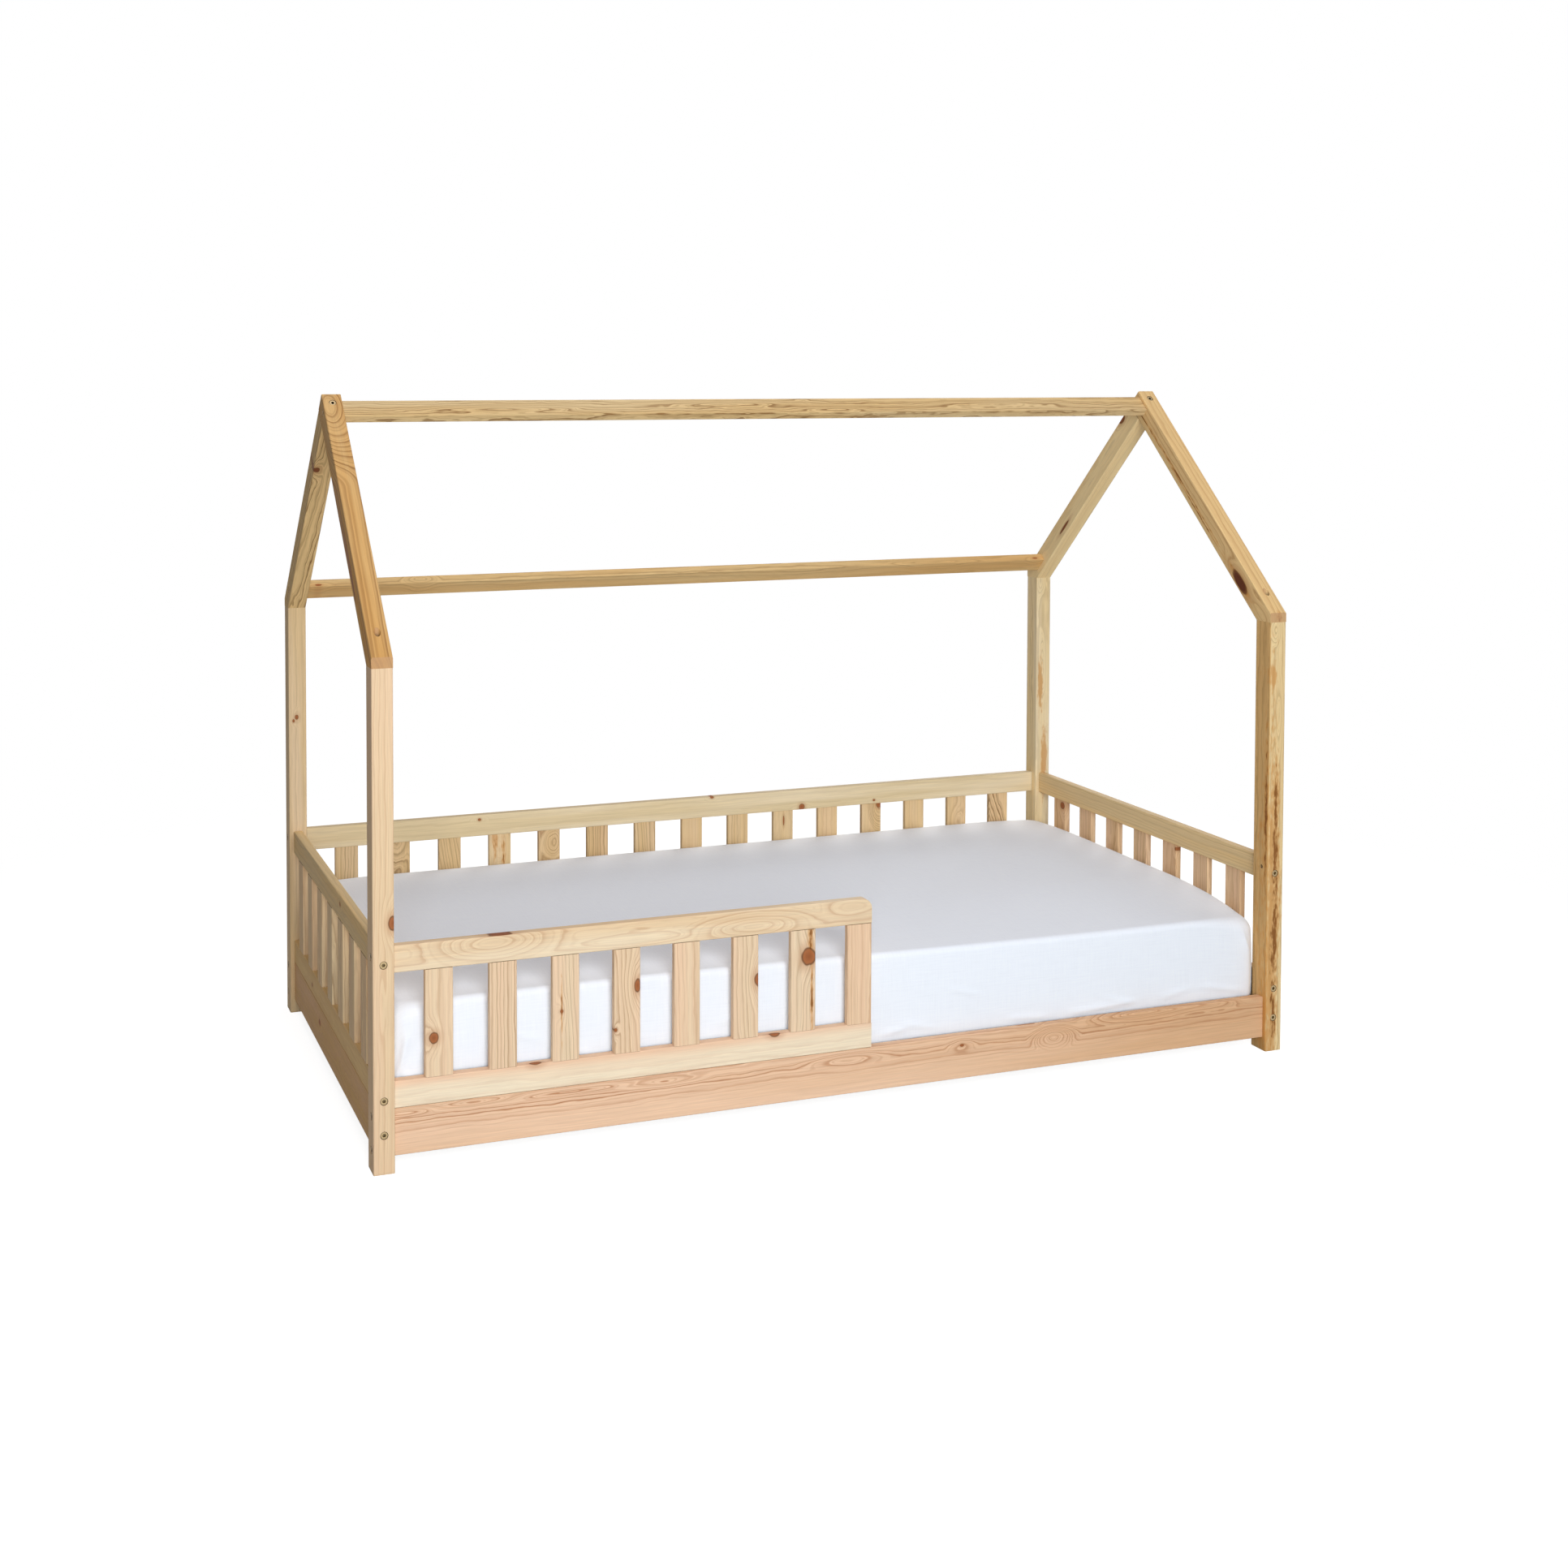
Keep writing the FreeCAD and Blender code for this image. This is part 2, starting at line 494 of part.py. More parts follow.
def make_guard(name, run, sign, length, count, first, pitch, middle, bolted, dowels):
    """A guard panel: top rail, bottom rail and slats with tenons, outer faces flush."""
    outward = "-" if sign < 0 else ""
    inward = "" if sign < 0 else "-"
    base = f"{outward}{LONG_RAIL_Y}" if run == "X" else f"{outward}{POST_X}"
    row_axis = "H_Axis" if run == "X" else "V_Axis"
    across, up = "Sizes.rail_thickness", "Sizes.guard_rail_height"
    tenon_out = f"{outward}{TENON_FROM_RAIL}"
    span = f"({pitch}) * ({count} - 1)"
    for rail, mid, mortise_face in (
        ("top", UPPER_RAIL_MID, "-Sizes.guard_rail_height / 2"),
        ("bottom", LOWER_RAIL_MID, "Sizes.guard_rail_height / 2"),
    ):
        body = board(f"{name}_guard_{rail}_rail", run, length, across, up)
        along = f"(-{length} / 2 + {first})"
        at = (along, tenon_out, mortise_face) if run == "X" else (tenon_out, along, mortise_face)
        sketch = sketch_on(body, "Z", at)
        sizes = (MORTISE_WIDTH, MORTISE_THICKNESS)
        rectangle(sketch, *(sizes if run == "X" else sizes[::-1]))
        mortise = pocket(body, sketch, MORTISE_DEPTH)
        repeat(body, [mortise], sketch, row_axis, span, count)
        if run == "X":
            drop = "Sizes.bolt_stagger" if rail == "top" else None
        else:
            drop = "-Sizes.bolt_stagger"
        if drop:
            for end in bolted:
                tip = f"{end}{length} / 2"
                insert_holes(body, run, (tip, "0", drop) if run == "X" else ("0", tip, drop))
        if rail == "bottom":
            start, steps = dowel_row(length, dowels)
            under = "-Sizes.guard_rail_height / 2"
            spot = (start, "0", under) if run == "X" else ("0", start, under)
            bore(body, "Z", spot, DOWEL_HOLE, "Sizes.guard_dowel_depth", row_axis[0], steps)
        if run == "X":
            put(body, middle, base, mid)
        else:
            put(body, base, middle, mid)
    slats = new_body(f"{name}_guard_slats")
    sketch = sketch_on(slats, "Z")
    sizes = ("Sizes.slat_width", "Sizes.slat_thickness")
    rectangle(sketch, *(sizes if run == "X" else sizes[::-1]), "Sizes.arris")
    blade = pad(slats, sketch, "Sizes.guard_opening")
    shift = f"{inward}{TENON_INWARD}"
    tenon_sketch = sketch_on(slats, "Z", ("0", shift, "0") if run == "X" else (shift, "0", "0"))
    sizes = (TENON_WIDTH, "Sizes.tenon_thickness")
    rectangle(tenon_sketch, *(sizes if run == "X" else sizes[::-1]))
    tenons = pad(slats, tenon_sketch, "(Sizes.guard_opening + 2 * Sizes.tenon_length)")
    repeat(slats, [blade, tenons], sketch, row_axis, span, count)
    start = f"({middle} - {length} / 2 + {first})"
    flush = f"({base} {'-' if sign < 0 else '+'} {SLAT_OUTWARD})"
    if run == "X":
        put(slats, start, flush, SLAT_MID)
    else:
        put(slats, flush, start, SLAT_MID)


def round_free_corner(body):
    """Rounds the upper corner at the free end of the front guard's top rail."""
    corner, margin = "Sizes.guard_corner", "Sizes.arris"
    at = (f"(Sizes.half_guard_length / 2 - {corner})", "0", f"(Sizes.guard_rail_height / 2 - {corner})")
    sketch = sketch_on(body, "Y", at)
    r = number(corner)
    far = r + number(margin)
    stops = (Vector(0, r), Vector(0, far), Vector(far, far), Vector(far, 0), Vector(r, 0))
    for start, end in zip(stops, stops[1:]):
        sketch.addGeometry(Part.LineSegment(start, end))
    ring = Part.Circle(Vector(), Vector(0, 0, 1), r)
    sketch.addGeometry(Part.ArcOfCircle(ring, 0, math.pi / 2))
    for i in range(3):
        sketch.addConstraint(Sketcher.Constraint("Coincident", i, 2, i + 1, 1))
    sketch.addConstraint(Sketcher.Constraint("Coincident", 3, 2, 4, 1))
    sketch.addConstraint(Sketcher.Constraint("Coincident", 4, 2, 0, 1))
    sketch.addConstraint(Sketcher.Constraint("Coincident", 4, 3, -1, 1))
    sketch.addConstraint(Sketcher.Constraint("PointOnObject", 0, 1, -2))
    sketch.addConstraint(Sketcher.Constraint("PointOnObject", 3, 2, -1))
    sketch.addConstraint(Sketcher.Constraint("Vertical", 0))
    sketch.addConstraint(Sketcher.Constraint("Horizontal", 1))
    sketch.addConstraint(Sketcher.Constraint("Vertical", 2))
    sketch.addConstraint(Sketcher.Constraint("Horizontal", 3))
    bind(sketch, "Radius", 4, to=corner)
    bind(sketch, "DistanceX", -1, 1, 2, 1, to=f"({corner} + {margin})")
    bind(sketch, "DistanceY", -1, 1, 2, 1, to=f"({corner} + {margin})")
    pocket(body, sketch)


def round_long_edges(body, feature):
    """Rounds the edges of a rafter that run along its slope."""
    doc.recompute()
    names = []
    for i, edge in enumerate(feature.Shape.Edges, start=1):
        start, end = (v.Point for v in edge.Vertexes)
        if abs(start.x - end.x) < 1 and edge.Length > number(HALF_WIDTH) / 2:
            names.append(f"Edge{i}")
    fillet = body.newObject("PartDesign::Fillet", body.Name + "_edges")
    fillet.Base = (feature, names)
    fillet.setExpression("Radius", "Sizes.arris")
    body.Tip = fillet


def make_rafter(label, side_x, is_front):
    """A rafter from its foot on a post to the gable point; the front one runs past the back one."""
    body = new_body(label)
    sketch = sketch_on(body, "X")
    low_end = f"({POINT_RISE} - Sizes.timber_depth / cos({PITCH}))"
    if is_front:
        tip = ((HALF_WIDTH, POINT_RISE), (f"({HALF_WIDTH} + {CUT_IN})", f"({POINT_RISE} - {CUT_DOWN})"))
    else:
        tip = ((f"({HALF_WIDTH} - {CUT_IN})", f"({POINT_RISE} - {CUT_DOWN})"), (HALF_WIDTH, low_end))
    outline(sketch, (("0", "0"), ("0", HEEL), *tip, ("Sizes.timber_depth", "0")))
    blank = pad(body, sketch, "Sizes.timber_width")
    round_long_edges(body, blank)

    bore(body, "Z", ("0", "Sizes.foot_dowel_setback", "0"), DOWEL_HOLE, "Sizes.foot_dowel_depth")
    lean = (Vector(-1, 0, 0), "Sizes.foot_screw_tilt")
    mouth = ("0", "Sizes.foot_screw_setback", SCREW_RISE)
    bore(body, "Z", mouth, "(Sizes.foot_screw_diameter + 2 * Sizes.fit_gap)", tilt=lean)
    seat = "(Sizes.foot_screw_sink + Sizes.foot_screw_head_height)"
    bore(body, "Z", mouth, "(Sizes.foot_screw_head + 2 * Sizes.head_gap)", seat, tilt=lean)

    outer_left = side_x < 0 if is_front else side_x > 0
    outer_x = ("-" if outer_left else "") + "Sizes.timber_width / 2"
    inner_x = ("" if outer_left else "-") + "Sizes.timber_width / 2"
    if is_front:
        tilt = (Vector(1, 0, 0), f"90 - {PITCH}")
        mouth = ("0", f"({HALF_WIDTH} - {CUT_IN} / 2)", f"({POINT_RISE} - {CUT_DOWN} / 2)")
        bore(body, "Z", mouth, BOLT_HOLE, tilt=tilt)
        bore(body, "Z", mouth, BOLT_HEAD_HOLE, BOLT_SEAT, tilt=tilt)
        bolt_at, dowel_at = ridge_point("-Sizes.ridge_bolt_offset"), ridge_point("Sizes.beam_dowel_offset")
        turn, face_y = UPRIGHT, "-" + HALF_WIDTH
    else:
        tilt = (Vector(-1, 0, 0), f"90 - {PITCH}")
        mouth = ("0", f"({HALF_WIDTH} - {CUT_IN} / 2)", f"({POINT_RISE} - 1.5 * {CUT_DOWN})")
        bore(body, "Z", mouth, INSERT_HOLE, f"(Sizes.insert_length + {GABLE_SINK})", tilt=tilt)
        bore(body, "Z", mouth, BOLT_HOLE, BOLT_TUNNEL, tilt=tilt)
        bolt_at, dowel_at = eave_point("0"), eave_point("Sizes.beam_dowel_offset")
        turn, face_y = (Vector(0, 0, 1), "180"), HALF_WIDTH
    bore(body, "X", ("0", *bolt_at), BOLT_HOLE)
    bore(body, "X", (outer_x, *bolt_at), BOLT_HEAD_HOLE, BOLT_SEAT)
    bore(body, "X", (inner_x, *dowel_at), DOWEL_HOLE, "Sizes.beam_dowel_depth")
    put(body, ("-" if side_x < 0 else "") + POST_X, face_y, "Sizes.post_height", turn)


def ridge_point(up_slope):
    """A point up the slope from the ridge beam's middle: inwards and up from a post's outer top edge."""
    along = f"({RIDGE_ALONG} - {up_slope})"
    inwards = f"({HALF_WIDTH} - {along} * cos({PITCH}) + {RIDGE_UNDER} * sin({PITCH}))"
    upwards = f"({POINT_RISE} - {along} * sin({PITCH}) - {RIDGE_UNDER} * cos({PITCH}))"
    return inwards, upwards


def eave_point(up_slope):
    """The same for the eave beam, from the outer top edge of a back post."""
    inwards = f"(Sizes.eave_reach + {up_slope} * cos({PITCH}))"
    upwards = f"({EAVE_RISE} + {up_slope} * sin({PITCH}))"
    return inwards, upwards


def make_beam(label, bolt_y, dowel_y, turn, y, z):
    """A roof beam between two rafters, its broad face along the slope."""
    body = board(label, "X", INNER_LENGTH, "Sizes.beam_width", "Sizes.beam_thickness")
    for end in ("", "-"):
        tip = f"{end}{INNER_LENGTH} / 2"
        insert_holes(body, "X", (tip, bolt_y, "0"))
        bore(body, "X", (tip, dowel_y, "0"), DOWEL_HOLE, "Sizes.beam_dowel_depth")
    put(body, "0", y, z, turn)


def make_ledger(label, sign):
    """A ledger screwed along the inside of a long bed rail; the base slats lie on it."""
    body = board(label, "X", LEDGER_LENGTH, "Sizes.ledger_thickness", "Sizes.ledger_height")
    bore(body, "Y", (LEDGER_FIRST, "0", "0"), SCREW_HOLE, None, "H", LEDGER_SCREW_STEPS)
    inner_face = ("" if sign < 0 else "-") + "Sizes.ledger_thickness / 2"
    seat = (LEDGER_FIRST, inner_face, "0")
    bore(body, "Y", seat, SCREW_HEAD_HOLE, "Sizes.screw_head_height", "H", LEDGER_SCREW_STEPS)
    start = (f"-{BASE_SPAN} / 2", "0", "Sizes.ledger_height / 2")
    sketch = sketch_on(body, "Z", start)
    circles(sketch, SCREW_HOLE)
    grip = "(Sizes.screw_length - Sizes.base_slat_thickness + Sizes.tip_gap)"
    pilot = pocket(body, sketch, grip)
    repeat(body, [pilot], sketch, "H_Axis", BASE_SPAN, "Sizes.base_slat_count")
    put(body, "0", ("-" if sign < 0 else "") + LEDGER_Y, LEDGER_Z)


def make_base_slats():
    """The slats under the mattress, each screwed down at both ends."""
    body = new_body("base_slats")
    sketch = sketch_on(body, "Y")
    rectangle(sketch, "Sizes.base_slat_width", "Sizes.base_slat_thickness", "Sizes.arris")
    features = [pad(body, sketch, BASE_SLAT_LENGTH)]
    for end in ("", "-"):
        features.append(bore(body, "Z", ("0", end + LEDGER_Y, "0"), SCREW_HOLE))
        top = ("0", end + LEDGER_Y, "Sizes.base_slat_thickness / 2")
        features.append(bore(body, "Z", top, SCREW_HEAD_HOLE, "Sizes.screw_head_height"))
    repeat(body, features, sketch, "H_Axis", BASE_SPAN, "Sizes.base_slat_count")
    put(body, f"-{BASE_SPAN} / 2", "0", f"({BASE_TOP} - Sizes.base_slat_thickness / 2)")


def loft(body, levels, grow):
    """A smooth solid through level rounded rectangles, each at a height and drawn in by an inset."""
    sketches = []
    for height, inset in levels:
        sketch = sketch_on(body, "Z", ("0", "0", f"({height})"))
        length = f"({MATTRESS_LENGTH} + 2 * ({grow} - {inset}))"
        width = f"({MATTRESS_WIDTH} + 2 * ({grow} - {inset}))"
        rectangle(sketch, length, width, "Sizes.mattress_corner")
        sketches.append(sketch)
    feature = body.newObject("PartDesign::AdditiveLoft", body.Name + "_loft")
    feature.Profile = sketches[0]
    feature.Sections = sketches[1:]
    body.Tip = feature


def quarter_round(start, radius, way):
    """Heights and insets along a rounded rim, from the upright side to the level face."""
    return [
        (f"({start} {way} {radius} * sin({angle}))", f"({radius} * (1 - cos({angle})))")
        for angle in (0, 30, 60, 90)
    ]


def mattress_form(body, grow):
    """The mattress, larger all round by an expression: sides drawn in, rims rounded, top crowned."""
    foot, edge = f"(Sizes.mattress_foot + {grow})", f"(Sizes.mattress_edge + {grow})"
    side_bottom, side_top = "Sizes.mattress_foot", "(Sizes.mattress_height - Sizes.mattress_edge)"
    middle = f"(({side_bottom} + {side_top}) / 2)"
    top = f"(Sizes.mattress_height + {grow})"
    loft(body, ((side_bottom, "0"), (middle, "Sizes.mattress_waist"), (side_top, "0")), grow)
    loft(body, quarter_round(side_bottom, foot, "-"), grow)
    loft(body, quarter_round(side_top, edge, "+"), grow)
    loft(body, (
        (top, edge),
        (f"({top} + Sizes.crown_shoulder)", f"({MATTRESS_WIDTH} / 4)"),
        (f"({top} + Sizes.mattress_crown)", f"({MATTRESS_WIDTH} / 2 - Sizes.crown_flat)"),
    ), grow)


def make_mattress():
    """The mattress, and the fitted sheet drawn over it and turned under its edges."""
    mattress = new_body("mattress")
    mattress_form(mattress, "0")
    put(mattress, "0", "0", MATTRESS_Z)
    outside = new_body("sheet_outside", is_node=False)
    mattress_form(outside, "(Sizes.sheet_ease + Sizes.sheet_thickness)")
    put(outside, "0", "0", MATTRESS_Z)
    inside = new_body("sheet_inside", is_node=False)
    mattress_form(inside, "Sizes.sheet_ease")
    sketch = sketch_on(inside, "Z")
    length = f"({MATTRESS_LENGTH} - 2 * Sizes.sheet_tuck)"
    width = f"({MATTRESS_WIDTH} - 2 * Sizes.sheet_tuck)"
    rectangle(sketch, length, width, "Sizes.mattress_corner")
    pad(inside, sketch, "(4 * (Sizes.sheet_ease + Sizes.sheet_thickness))")
    put(inside, "0", "0", MATTRESS_Z)
    cover = doc.addObject("Part::Cut", "fitted_sheet")
    cover.Label = "fitted_sheet"
    cover.Base = outside
    cover.Tool = inside
    nodes.append(cover)


# Ledger screws stand half way between base slats, one every few slats
SLATS_PER_SCREW = 3
LEDGER_FIRST = f"(-{BASE_SPAN} / 2 + {SLATS_PER_SCREW} / 2 * {BASE_PITCH})"
LEDGER_SCREW_STEPS = [
    f"{SLATS_PER_SCREW * i} * {BASE_PITCH}" if i else "0"
    for i in range(round((number("Sizes.base_slat_count") - 1) / SLATS_PER_SCREW))
]

# Posts and bed rails
make_post("post_front_left", -1, -1, LONG_BOLTS)
make_post("post_front_right", 1, -1, BED_BOLTS, spare_holes=(GUARD_BOLT,))
make_post("post_back_left", -1, 1, LONG_BOLTS)
make_post("post_back_right", 1, 1, LONG_BOLTS)
make_bed_rail("bed_rail_front", "X", -1, "Sizes.front_dowel_count", "Sizes.half_guard_length", FRONT_GUARD_X)
make_bed_rail("bed_rail_back", "X", 1, "Sizes.back_dowel_count", INNER_LENGTH)
make_bed_rail("bed_rail_left", "Y", -1, "Sizes.end_dowel_count", INNER_WIDTH)
make_bed_rail("bed_rail_right", "Y", 1, "Sizes.end_dowel_count", INNER_WIDTH)


def even_row(length, count):
    """First place and pitch of slats with equal gaps between two posts."""
    gap = f"(({length} - {count} * Sizes.slat_width) / ({count} + 1))"
    return f"({gap} + Sizes.slat_width / 2)", f"({gap} + Sizes.slat_width)"


# Guards
BACK_FIRST, BACK_PITCH = even_row(INNER_LENGTH, "Sizes.back_slat_count")
END_FIRST, END_PITCH = even_row(INNER_WIDTH, "Sizes.end_slat_count")
FRONT_FIRST = "(Sizes.front_first_gap + Sizes.slat_width / 2)"
FRONT_PITCH = f"""((Sizes.half_guard_length - Sizes.slat_width / 2 - {FRONT_FIRST})
    / (Sizes.front_slat_count - 1))""".replace("\n", "")
BOTH_ENDS, LEFT_END = ("-", ""), ("-",)
make_guard("back", "X", 1, INNER_LENGTH, "Sizes.back_slat_count", BACK_FIRST, BACK_PITCH, "0",
           BOTH_ENDS, "Sizes.back_dowel_count")
make_guard("left", "Y", -1, INNER_WIDTH, "Sizes.end_slat_count", END_FIRST, END_PITCH, "0",
           BOTH_ENDS, "Sizes.end_dowel_count")
make_guard("right", "Y", 1, INNER_WIDTH, "Sizes.end_slat_count", END_FIRST, END_PITCH, "0",
           BOTH_ENDS, "Sizes.end_dowel_count")
make_guard("front", "X", -1, "Sizes.half_guard_length", "Sizes.front_slat_count", FRONT_FIRST, FRONT_PITCH,
           FRONT_GUARD_X, LEFT_END, "Sizes.front_dowel_count")
round_free_corner(doc.getObject("front_guard_top_rail"))

# Roof
for side, side_x in (("left", -1), ("right", 1)):
    make_rafter(f"rafter_front_{side}", side_x, True)
    make_rafter(f"rafter_back_{side}", side_x, False)
RIDGE_Y, RIDGE_Z = ridge_point("0")
make_beam("ridge_beam", "-Sizes.ridge_bolt_offset", "Sizes.beam_dowel_offset", (Vector(1, 0, 0), PITCH),
          f"(-{HALF_WIDTH} + {RIDGE_Y})", f"(Sizes.post_height + {RIDGE_Z})")
EAVE_Y, EAVE_Z = eave_point("0")
make_beam("eave_beam", "0", "-Sizes.beam_dowel_offset", (Vector(-1, 0, 0), PITCH),
          f"({HALF_WIDTH} - {EAVE_Y})", f"(Sizes.post_height + {EAVE_Z})")

# Bed base
make_ledger("ledger_front", -1)
make_ledger("ledger_back", 1)
make_base_slats()

# Bolts and inserts
BOLT_SIZES = ("Sizes.bolt_head", "Sizes.bolt_head_height", "Sizes.bolt_diameter")
SOCKET = ("Sizes.bolt_socket", "Sizes.bolt_socket_depth")
INSERT_PROFILE = (
    ("(Sizes.bolt_diameter / 2 + Sizes.fit_gap)", "0"),
    ("Sizes.insert_diameter / 2", "0"),
    ("Sizes.insert_diameter / 2", "Sizes.insert_length"),
    ("(Sizes.bolt_diameter / 2 + Sizes.fit_gap)", "Sizes.insert_length"),
)
insert = turned_piece("insert", INSERT_PROFILE)
cross_bolt = headed_piece("cross_bolt", *BOLT_SIZES,
                          "(Sizes.timber_width - Sizes.bolt_recess + Sizes.bolt_reach)", *SOCKET)
deep_bolt = headed_piece("deep_bolt", *BOLT_SIZES,
                         "(Sizes.timber_depth - Sizes.bolt_recess + Sizes.bolt_reach)", *SOCKET)
point_bolt = headed_piece("point_bolt", *BOLT_SIZES,
                          f"({CUT} - Sizes.bolt_recess + Sizes.bolt_reach)", *SOCKET)

long_bolts, long_inserts, end_bolts, end_inserts = [], [], [], []
for sign_x, inward_x in (("-", ALONG_X), ("", AGAINST_X)):
    towards_x = "+" if sign_x else "-"
    head_x = f"({sign_x}{HALF_LENGTH} {towards_x} Sizes.bolt_recess)"
    insert_x = f"{sign_x}{INNER_LENGTH} / 2"
    for sign_y, inward_y in (("-", ALONG_Y), ("", AGAINST_Y)):
        towards_y = "+" if sign_y else "-"
        rail_y = sign_y + LONG_RAIL_Y
        heights = BED_BOLTS if (sign_x, sign_y) == ("", "-") else LONG_BOLTS
        for height in heights:
            long_bolts.append((head_x, rail_y, height, inward_x))
            long_inserts.append((insert_x, rail_y, height, inward_x))
        head_y = f"({sign_y}{HALF_WIDTH} {towards_y} Sizes.bolt_recess)"
        insert_y = f"{sign_y}{INNER_WIDTH} / 2"
        for height in END_BOLTS:
            end_bolts.append((sign_x + POST_X, head_y, height, inward_y))
            end_inserts.append((sign_x + POST_X, insert_y, height, inward_y))
group("long_rail_bolts", cross_bolt, long_bolts)
group("long_rail_inserts", insert, long_inserts)
group("end_rail_bolts", deep_bolt, end_bolts)
group("end_rail_inserts", insert, end_inserts)

# Roof fasteners
beam_bolts, beam_inserts, beam_dowels, point_bolts, point_inserts = [], [], [], [], []
foot_screws, foot_dowels = [], []
DOWN_BACK_SLOPE = (Vector(-1, 0, 0), f"90 + {PITCH}")
RIDGE_BOLT_Y, RIDGE_BOLT_Z = ridge_point("-Sizes.ridge_bolt_offset")
RIDGE_DOWEL_Y, RIDGE_DOWEL_Z = ridge_point("Sizes.beam_dowel_offset")
EAVE_DOWEL_Y, EAVE_DOWEL_Z = eave_point("Sizes.beam_dowel_offset")
POST_TOP = "Sizes.post_height"
for sign_x, inward_x in (("-", ALONG_X), ("", AGAINST_X)):
    towards_x = "+" if sign_x else "-"
    head_x = f"({sign_x}{HALF_LENGTH} {towards_x} Sizes.bolt_recess)"
    beam_x = f"{sign_x}{INNER_LENGTH} / 2"
    dowel_x = f"({beam_x} {'-' if sign_x else '+'} Sizes.beam_dowel_depth)"
    for y, z in ((f"(-{HALF_WIDTH} + {RIDGE_BOLT_Y})", RIDGE_BOLT_Z), (f"({HALF_WIDTH} - {EAVE_Y})", EAVE_Z)):
        beam_bolts.append((head_x, y, f"({POST_TOP} + {z})", inward_x))
        beam_inserts.append((beam_x, y, f"({POST_TOP} + {z})", inward_x))
    for y, z in (
        (f"(-{HALF_WIDTH} + {RIDGE_DOWEL_Y})", RIDGE_DOWEL_Z),
        (f"({HALF_WIDTH} - {EAVE_DOWEL_Y})", EAVE_DOWEL_Z),
    ):
        beam_dowels.append((dowel_x, y, f"({POST_TOP} + {z})", inward_x))
    point_bolts.append((
        sign_x + POST_X,
        f"(-{CUT_IN} / 2 + Sizes.bolt_recess * cos({PITCH}))",
        f"({POST_TOP} + {POINT_RISE} - {CUT_DOWN} / 2 - Sizes.bolt_recess * sin({PITCH}))",
        DOWN_BACK_SLOPE,
    ))
    point_inserts.append((
        sign_x + POST_X,
        f"({CUT_IN} / 2 + {GABLE_SINK} * cos({PITCH}))",
        f"({POST_TOP} + {POINT_RISE} - 1.5 * {CUT_DOWN} - {GABLE_SINK} * sin({PITCH}))",
        DOWN_BACK_SLOPE,
    ))
    sunk_y = "(Sizes.foot_screw_setback - Sizes.foot_screw_sink * sin(Sizes.foot_screw_tilt))"
    sunk_z = f"({POST_TOP} + {SCREW_RISE} - Sizes.foot_screw_sink * cos(Sizes.foot_screw_tilt))"
    for side_y, axis in (("-", Vector(1, 0, 0)), ("", Vector(-1, 0, 0))):
        towards_y = "+" if side_y else "-"
        lean = (axis, "180 - Sizes.foot_screw_tilt")
        foot_screws.append((sign_x + POST_X, f"({side_y}{HALF_WIDTH} {towards_y} {sunk_y})", sunk_z, lean))
        dowel_y = f"({side_y}{HALF_WIDTH} {towards_y} Sizes.foot_dowel_setback)"
        foot_dowels.append((sign_x + POST_X, dowel_y, f"({POST_TOP} - Sizes.foot_dowel_depth)", UPRIGHT))
group("beam_bolts", cross_bolt, beam_bolts)
group("beam_inserts", insert, beam_inserts)
group("gable_bolts", point_bolt, point_bolts)
group("gable_inserts", insert, point_inserts)
foot_screw = headed_piece("foot_screw", "Sizes.foot_screw_head", "Sizes.foot_screw_head_height",
                          "Sizes.foot_screw_diameter", "Sizes.foot_screw_length",
                          "Sizes.bolt_socket", "Sizes.bolt_socket_depth / 2")
group("rafter_foot_screws", foot_screw, foot_screws)


def dowel(name, depth):
    """A round dowel, half of it in either piece."""
    return turned_piece(name, (
        ("0", "0"),
        ("Sizes.dowel_diameter / 2", "0"),
        ("Sizes.dowel_diameter / 2", f"2 * {depth}"),
        ("0", f"2 * {depth}"),
    ))


group("beam_dowels", dowel("beam_dowel", "Sizes.beam_dowel_depth"), beam_dowels)
group("rafter_foot_dowels", dowel("foot_dowel", "Sizes.foot_dowel_depth"), foot_dowels)

# Dowels between the bed rails and the guards on them
guard_dowels = []
DOWEL_FOOT = f"({BED_RAIL_TOP} - Sizes.guard_dowel_depth)"
for run, length, middle, count, sides in (
    ("X", "Sizes.half_guard_length", FRONT_GUARD_X, "Sizes.front_dowel_count", ("-",)),
    ("X", INNER_LENGTH, "0", "Sizes.back_dowel_count", ("",)),
    ("Y", INNER_WIDTH, "0", "Sizes.end_dowel_count", ("-", "")),
):
    start, steps = dowel_row(length, count)
    for side in sides:
        for step in steps:
            along = f"({middle} + {start} + {step})"
            if run == "X":
                guard_dowels.append((along, side + LONG_RAIL_Y, DOWEL_FOOT, UPRIGHT))
            else:
                guard_dowels.append((side + POST_X, along, DOWEL_FOOT, UPRIGHT))
group("guard_dowels", dowel("guard_dowel", "Sizes.guard_dowel_depth"), guard_dowels)

# Screws of the bed base
wood_screw = headed_piece("wood_screw", "Sizes.screw_head", "Sizes.screw_head_height", "Sizes.screw_diameter",
                          "Sizes.screw_length", "Sizes.screw_diameter", "Sizes.screw_head_height / 2")
base_screws, ledger_screws = [], []
for side, inward in (("-", AGAINST_Y), ("", ALONG_Y)):
    for i in range(int(number("Sizes.base_slat_count"))):
        base_screws.append((f"(-{BASE_SPAN} / 2 + {i} * {BASE_PITCH})", side + LEDGER_Y, BASE_TOP, DOWNWARD))
    face = f"({side}{LEDGER_Y} {'+' if side else '-'} Sizes.ledger_thickness / 2)"
    for step in LEDGER_SCREW_STEPS:
        along = f"({LEDGER_FIRST} + {step})"
        ledger_screws.append((along, face, LEDGER_Z, inward))
group("base_slat_screws", wood_screw, base_screws)
group("ledger_screws", wood_screw, ledger_screws)

